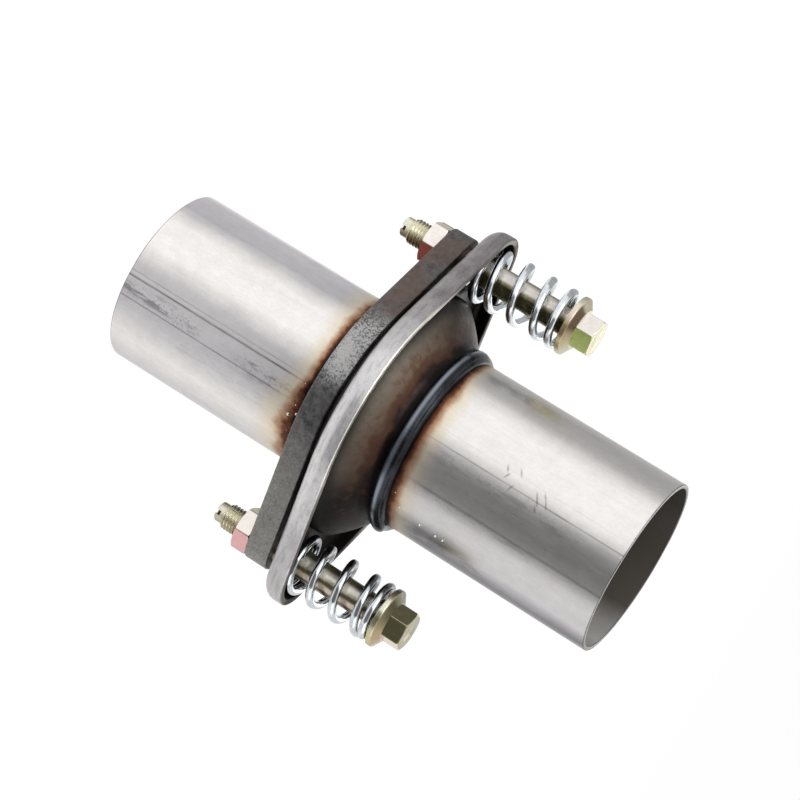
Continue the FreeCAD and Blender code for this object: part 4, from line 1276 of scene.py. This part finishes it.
class CONNECTOR_OT_springs(bpy.types.Operator):
    """Make both coil springs, each in two halves"""
    bl_idname = "connector.springs"
    bl_label = "Springs"

    turns = 5.0
    closed_turns = 0.75
    closing_turns = 0.5
    closed_gap = 0.1 * MM
    steps_a_turn = 64
    sides = 20

    def execute(self, context):
        # Painted shade: dark coil tops, and a darker wire on the left spring
        springs = (("right", BOLT_X, -36.0, 0.2, 1.0), ("left", -BOLT_X, 162.0, 0.85, 0.8))
        for side, centre, start, tops, tone in springs:
            self.make(context, side, centre, start, spring_finish(side, centre, tops, tone))
        return {"FINISHED"}

    def climb(self, turn, wire, rise):
        """Height of the wire after some turns, with both ends wound close."""
        pitch = wire + self.closed_gap
        closed_rise = pitch * (2 * self.closed_turns + self.closing_turns)
        open_pitch = (rise - closed_rise) / (
            self.turns - 2 * self.closed_turns - self.closing_turns)

        def from_end(done):
            if done <= self.closed_turns:
                return pitch * done
            opening = min(done - self.closed_turns, self.closing_turns)
            gained = (open_pitch - pitch) * opening ** 2 / (2 * self.closing_turns)
            beyond = max(done - self.closed_turns - self.closing_turns, 0)
            return pitch * (self.closed_turns + opening) + gained + open_pitch * beyond

        return from_end(turn) if turn <= self.turns / 2 else rise - from_end(self.turns - turn)

    def make(self, context, side, centre, start, finish):
        """One spring: the wire's rings, then a mesh for each half."""
        wire = context.scene.connector_sizes.wire_diameter
        foot = PRESSING[0][2] + SHEET + SPRING_SEAT + wire / 2
        rise = PLATE[1][2] + SHANK_LENGTH - SPRING_SEAT - wire / 2 - foot
        count = int(self.turns * self.steps_a_turn)

        def centre_at(turn):
            angle = math.radians(start) + math.tau * turn
            return Vector((
                centre + COIL_R * math.cos(angle), COIL_R * math.sin(angle),
                foot + self.climb(turn, wire, rise)))

        rings = []
        for step in range(count + 1):
            turn = self.turns * step / count
            here = centre_at(turn)
            along = centre_at(min(turn + 0.002, self.turns)) - centre_at(max(turn - 0.002, 0))
            along.normalize()
            angle = math.radians(start) + math.tau * turn
            outward = Vector((math.cos(angle), math.sin(angle), 0))
            up = along.cross(outward)
            rings.append((here, along, [
                outward * math.cos(a) + up * math.sin(a) for a in even_angles(self.sides)]))
        split = next(i for i, ring in enumerate(rings) if ring[0].z > (foot + foot + rise) / 2)
        middle = (centre, 0, rings[split][0].z)
        halves = (
            ("lower", rings[:split + 1], "springs", "outlet", middle, (centre, 0, foot + wire)),
            ("upper", rings[split:], "inlet", "springs", (centre, 0, foot + rise - wire), middle))
        for part, run, first, second, begin, end in halves:
            half = self.sweep("spring_%s_%s" % (side, part), run, wire / 2, part, finish)
            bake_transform(half)
            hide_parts("spring_" + side)

    def sweep(self, name, run, radius, part, finish):
        """A wire along its rings, with a bevelled cut at its free end."""
        bevel, end_share = 0.25 * MM, 0.80
        levels = [(middle, directions, radius) for middle, _, directions in run]
        if part == "lower":
            middle, along, directions = run[0]
            levels[:1] = [
                (middle, directions, radius * end_share),
                (middle + along * bevel, directions, radius)]
        else:
            middle, along, directions = run[-1]
            levels[-1:] = [
                (middle - along * bevel, directions, radius),
                (middle, directions, radius * end_share)]
        points = [
            middle + direction * reach for middle, directions, reach in levels
            for direction in directions]
        faces = bands(len(levels), self.sides)
        if part == "lower":
            faces.append(tuple(reversed(range(self.sides))))
        else:
            last = (len(levels) - 1) * self.sides
            faces.append(tuple(range(last, last + self.sides)))
        return mesh_piece(name, points, faces, finish, 50.0)


class CONNECTOR_OT_spatter(bpy.types.Operator):
    """Scatter small beads of weld spatter beside both welds"""
    bl_idname = "connector.spatter"
    bl_label = "Weld spatter"

    def execute(self, context):
        chance = random.Random(17)
        count = context.scene.connector_sizes.spatter
        finish = spatter_finish()
        beside_plate = ((127, 72.5, 0.62), (124, 75.2, 0.50), (119, 73.8, 0.25))
        along_outlet = (
            (147, 128.3, 0.44), (148, 134.6, 0.48), (148, 137.5, 0.40), (143, 119.8, 0.32),
            (142, 121.6, 0.26), (128, 137.0, 0.20))
        rows = (
            ("inlet", PLATE[0][2] - 3.6 * MM, -1, 3.0 * MM, beside_plate),
            ("outlet", NECK_END + 7.0 * MM, 1, 16.0 * MM, along_outlet))
        for side, start, way, reach, placed in rows:
            points, faces = [], []
            for angle, height, size in placed:
                self.bead(points, faces, math.radians(angle), height * MM, size * MM)
            for _ in range(count):
                angle = chance.uniform(0, math.tau)
                height = start + way * reach * chance.random() ** 2
                self.bead(points, faces, angle, height, chance.uniform(0.10, 0.24) * MM)
            spatter = mesh_piece(side + "_spatter", points, faces, finish, 80.0)
            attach(spatter, side)
        return {"FINISHED"}

    def bead(self, points, faces, angle, height, size):
        """A flattened drop that sits on the pipe's wall."""
        outward = Vector((math.cos(angle), math.sin(angle), 0))
        across = Vector((-outward.y, outward.x, 0))
        up = Vector((0, 0, 1))
        base = len(points)
        foot = outward * (PIPE_R - 0.04 * MM) + up * height
        around = 12
        levels = ((1.0, 0.0), (0.94, 0.35), (0.72, 0.62), (0.4, 0.80))
        for spread_out, lift in levels:
            for turn in even_angles(around):
                side = across * math.cos(turn) + up * math.sin(turn)
                points.append(foot + side * size * spread_out + outward * size * lift)
        points.append(foot + outward * size * 0.86)
        faces += bands(len(levels), around, base)
        top = base + (len(levels) - 1) * around
        tip = base + len(levels) * around
        faces += [(top + step, top + (step + 1) % around, tip) for step in range(around)]
        faces.append(tuple(base + step for step in reversed(range(around))))


class CONNECTOR_OT_stage(bpy.types.Operator):
    """Set the pale floor, the soft lamps, the white room and the camera"""
    bl_idname = "connector.stage"
    bl_label = "Stage"

    # The photograph's view, worked out from the pipes, the flanges and the bolts
    view = (0.07124, -0.95891, -0.27463)
    aim = (6.1 * MM, 0.9 * MM, 95.1 * MM)
    # What the lamps look at
    middle = (0.0, 0.0, 90.0 * MM)
    white = (1.0, 1.0, 1.0, 1.0)
    floor_grey = (0.17, 0.17, 0.17, 1.0)
    floor_glow = 0.90

    def execute(self, context):
        studio = context.scene.connector_studio
        context.scene.view_settings.view_transform = "Standard"
        self.make_floor()
        self.make_room(studio)
        self.add_lamp("key", studio.key_power, azimuth=62, elevation=42, distance=1.5, size=1.1)
        self.add_lamp("fill", studio.fill_power, azimuth=172, elevation=30, distance=1.5, size=1.0)
        self.add_lamp("back", studio.fill_power, azimuth=290, elevation=35, distance=1.6, size=1.0)
        self.add_flag("dark_flag", studio.flag_grey, first=96, last=152, high=0.45)
        self.add_flag("side_flag", studio.flag_grey * 2.6, first=-62, last=9, high=0.30)
        self.make_camera(studio)
        return {"FINISHED"}

    def seen_ray(self, tree):
        """1 for rays that show the background: camera, glossy and transmission rays."""
        rays = tree.nodes.new("ShaderNodeLightPath").outputs
        shown = calc(tree, "MAXIMUM", rays["Is Camera Ray"], rays["Is Glossy Ray"])
        return calc(tree, "MAXIMUM", shown, rays["Is Transmission Ray"])

    def bare_material(self, name):
        """A material without nodes, and its tree."""
        finish = bpy.data.materials.new(name)
        finish.use_nodes = True
        finish.node_tree.nodes.clear()
        return finish, finish.node_tree

    def make_floor(self):
        """A wide plain floor that glows white where it is seen, and keeps a soft shadow."""
        half = 12.0
        mesh = bpy.data.meshes.new("floor")
        mesh.from_pydata(
            [(-half, -half, 0), (half, -half, 0), (half, half, 0), (-half, half, 0)], [],
            [(0, 1, 2, 3)])
        finish, tree = self.bare_material("Studio floor")
        matt = add(tree, "ShaderNodeBsdfDiffuse", Color=self.floor_grey)
        glow = add(
            tree, "ShaderNodeEmission", Color=self.white,
            Strength=times(tree, self.seen_ray(tree), self.floor_glow))
        both = tree.nodes.new("ShaderNodeAddShader")
        feed(both.inputs[0], matt.outputs[0])
        feed(both.inputs[1], glow.outputs[0])
        add(tree, "ShaderNodeOutputMaterial", Surface=both.outputs[0])
        mesh.materials.append(finish)
        link(bpy.data.objects.new("floor", mesh))

    def add_flag(self, name, grey, first, last, high):
        """A grey card, curved round the object between two angles, that only reflections show."""
        points = []
        steps = 24
        distance = 0.26
        for step in range(steps + 1):
            turn = math.radians(first + (last - first) * step / steps)
            foot = Vector((math.cos(turn), math.sin(turn), 0)) * distance
            points += [foot, foot + Vector((0, 0, high))]
        faces = [(2 * step, 2 * step + 2, 2 * step + 3, 2 * step + 1) for step in range(steps)]
        mesh = bpy.data.meshes.new(name)
        mesh.from_pydata(points, [], faces)
        finish, tree = self.bare_material(name)
        glow = add(tree, "ShaderNodeEmission", Color=self.white, Strength=grey)
        add(tree, "ShaderNodeOutputMaterial", Surface=glow.outputs[0])
        mesh.materials.append(finish)
        flag = link(bpy.data.objects.new(name, mesh))
        flag.visible_camera = False
        flag.visible_diffuse = False
        flag.visible_transmission = False
        flag.visible_shadow = False

    def make_room(self, studio):
        """A white room that lights the object less than it shows."""
        world = bpy.data.worlds.new("White room")
        bpy.context.scene.world = world
        world.use_nodes = True
        tree = world.node_tree
        tree.nodes.clear()
        strength = fade(tree, self.seen_ray(tree), 0.0, 1.0, studio.room_light, 1.0)
        room = add(tree, "ShaderNodeBackground", Color=self.white, Strength=strength)
        add(tree, "ShaderNodeOutputWorld", Surface=room.outputs[0])

    def add_lamp(self, name, power, azimuth, elevation, distance, size):
        """A soft square lamp that looks at the middle of the object."""
        turn, lift = math.radians(azimuth), math.radians(elevation)
        away = Vector((
            math.cos(turn) * math.cos(lift), math.sin(turn) * math.cos(lift), math.sin(lift)))
        data = bpy.data.lights.new(name, "AREA")
        data.energy = power
        data.size = size
        lamp = link(bpy.data.objects.new(name, data))
        lamp.location = Vector(self.middle) + away * distance
        lamp.rotation_mode = "QUATERNION"
        lamp.rotation_quaternion = (-away).to_track_quat("-Z", "Y")

    def make_camera(self, studio):
        """A camera at the photograph's view."""
        data = bpy.data.cameras.new("camera")
        data.sensor_width = 36.0
        data.lens = studio.lens
        camera = link(bpy.data.objects.new("camera", data))
        view = Vector(self.view).normalized()
        camera.location = Vector(self.aim) - view * studio.distance
        camera.rotation_mode = "QUATERNION"
        camera.rotation_quaternion = view.to_track_quat("-Z", "Y") @ Quaternion(
            (0, 0, 1), studio.roll)
        bpy.context.scene.camera = camera


class CONNECTOR_PT_panel(bpy.types.Panel):
    """Lists what makes the pipe connector's looks"""
    bl_label = "Pipe connector"
    bl_idname = "CONNECTOR_PT_panel"
    bl_space_type = "VIEW_3D"
    bl_region_type = "UI"
    bl_category = "Pipe connector"

    def draw(self, context):
        layout = self.layout
        for step in STEPS:
            layout.operator(step.bl_idname)
        for settings in ("connector_sizes", "connector_colours", "connector_studio"):
            box = layout.box()
            group = getattr(context.scene, settings)
            for name in group.__annotations__:
                box.prop(group, name)


STEPS = (
    CONNECTOR_OT_pipes, CONNECTOR_OT_flanges, CONNECTOR_OT_welds, CONNECTOR_OT_bolts,
    CONNECTOR_OT_nuts, CONNECTOR_OT_springs, CONNECTOR_OT_spatter, CONNECTOR_OT_stage)
SETTINGS = (
    ("connector_sizes", ConnectorSizes), ("connector_colours", ConnectorColours),
    ("connector_studio", ConnectorStudio))


def register():
    """Add the settings, the operators and the panel."""
    for name, group in SETTINGS:
        bpy.utils.register_class(group)
        setattr(bpy.types.Scene, name, PointerProperty(type=group))
    for step in STEPS:
        bpy.utils.register_class(step)
    bpy.utils.register_class(CONNECTOR_PT_panel)


def unregister():
    """Take them away again."""
    bpy.utils.unregister_class(CONNECTOR_PT_panel)
    for step in reversed(STEPS):
        bpy.utils.unregister_class(step)
    for name, group in reversed(SETTINGS):
        delattr(bpy.types.Scene, name)
        bpy.utils.unregister_class(group)


def main():
    """Dress the frame."""
    register()
    for make_group in (
            make_place_group, make_grain_group, make_mottle_group, make_heat_group,
            make_rim_group):
        make_group()
    bpy.ops.connector.pipes()
    bpy.ops.connector.flanges()
    bpy.ops.connector.welds()
    bpy.ops.connector.bolts()
    bpy.ops.connector.nuts()
    bpy.ops.connector.springs()
    bpy.ops.connector.spatter()
    bpy.ops.connector.stage()


if __name__ == "__main__":
    main()
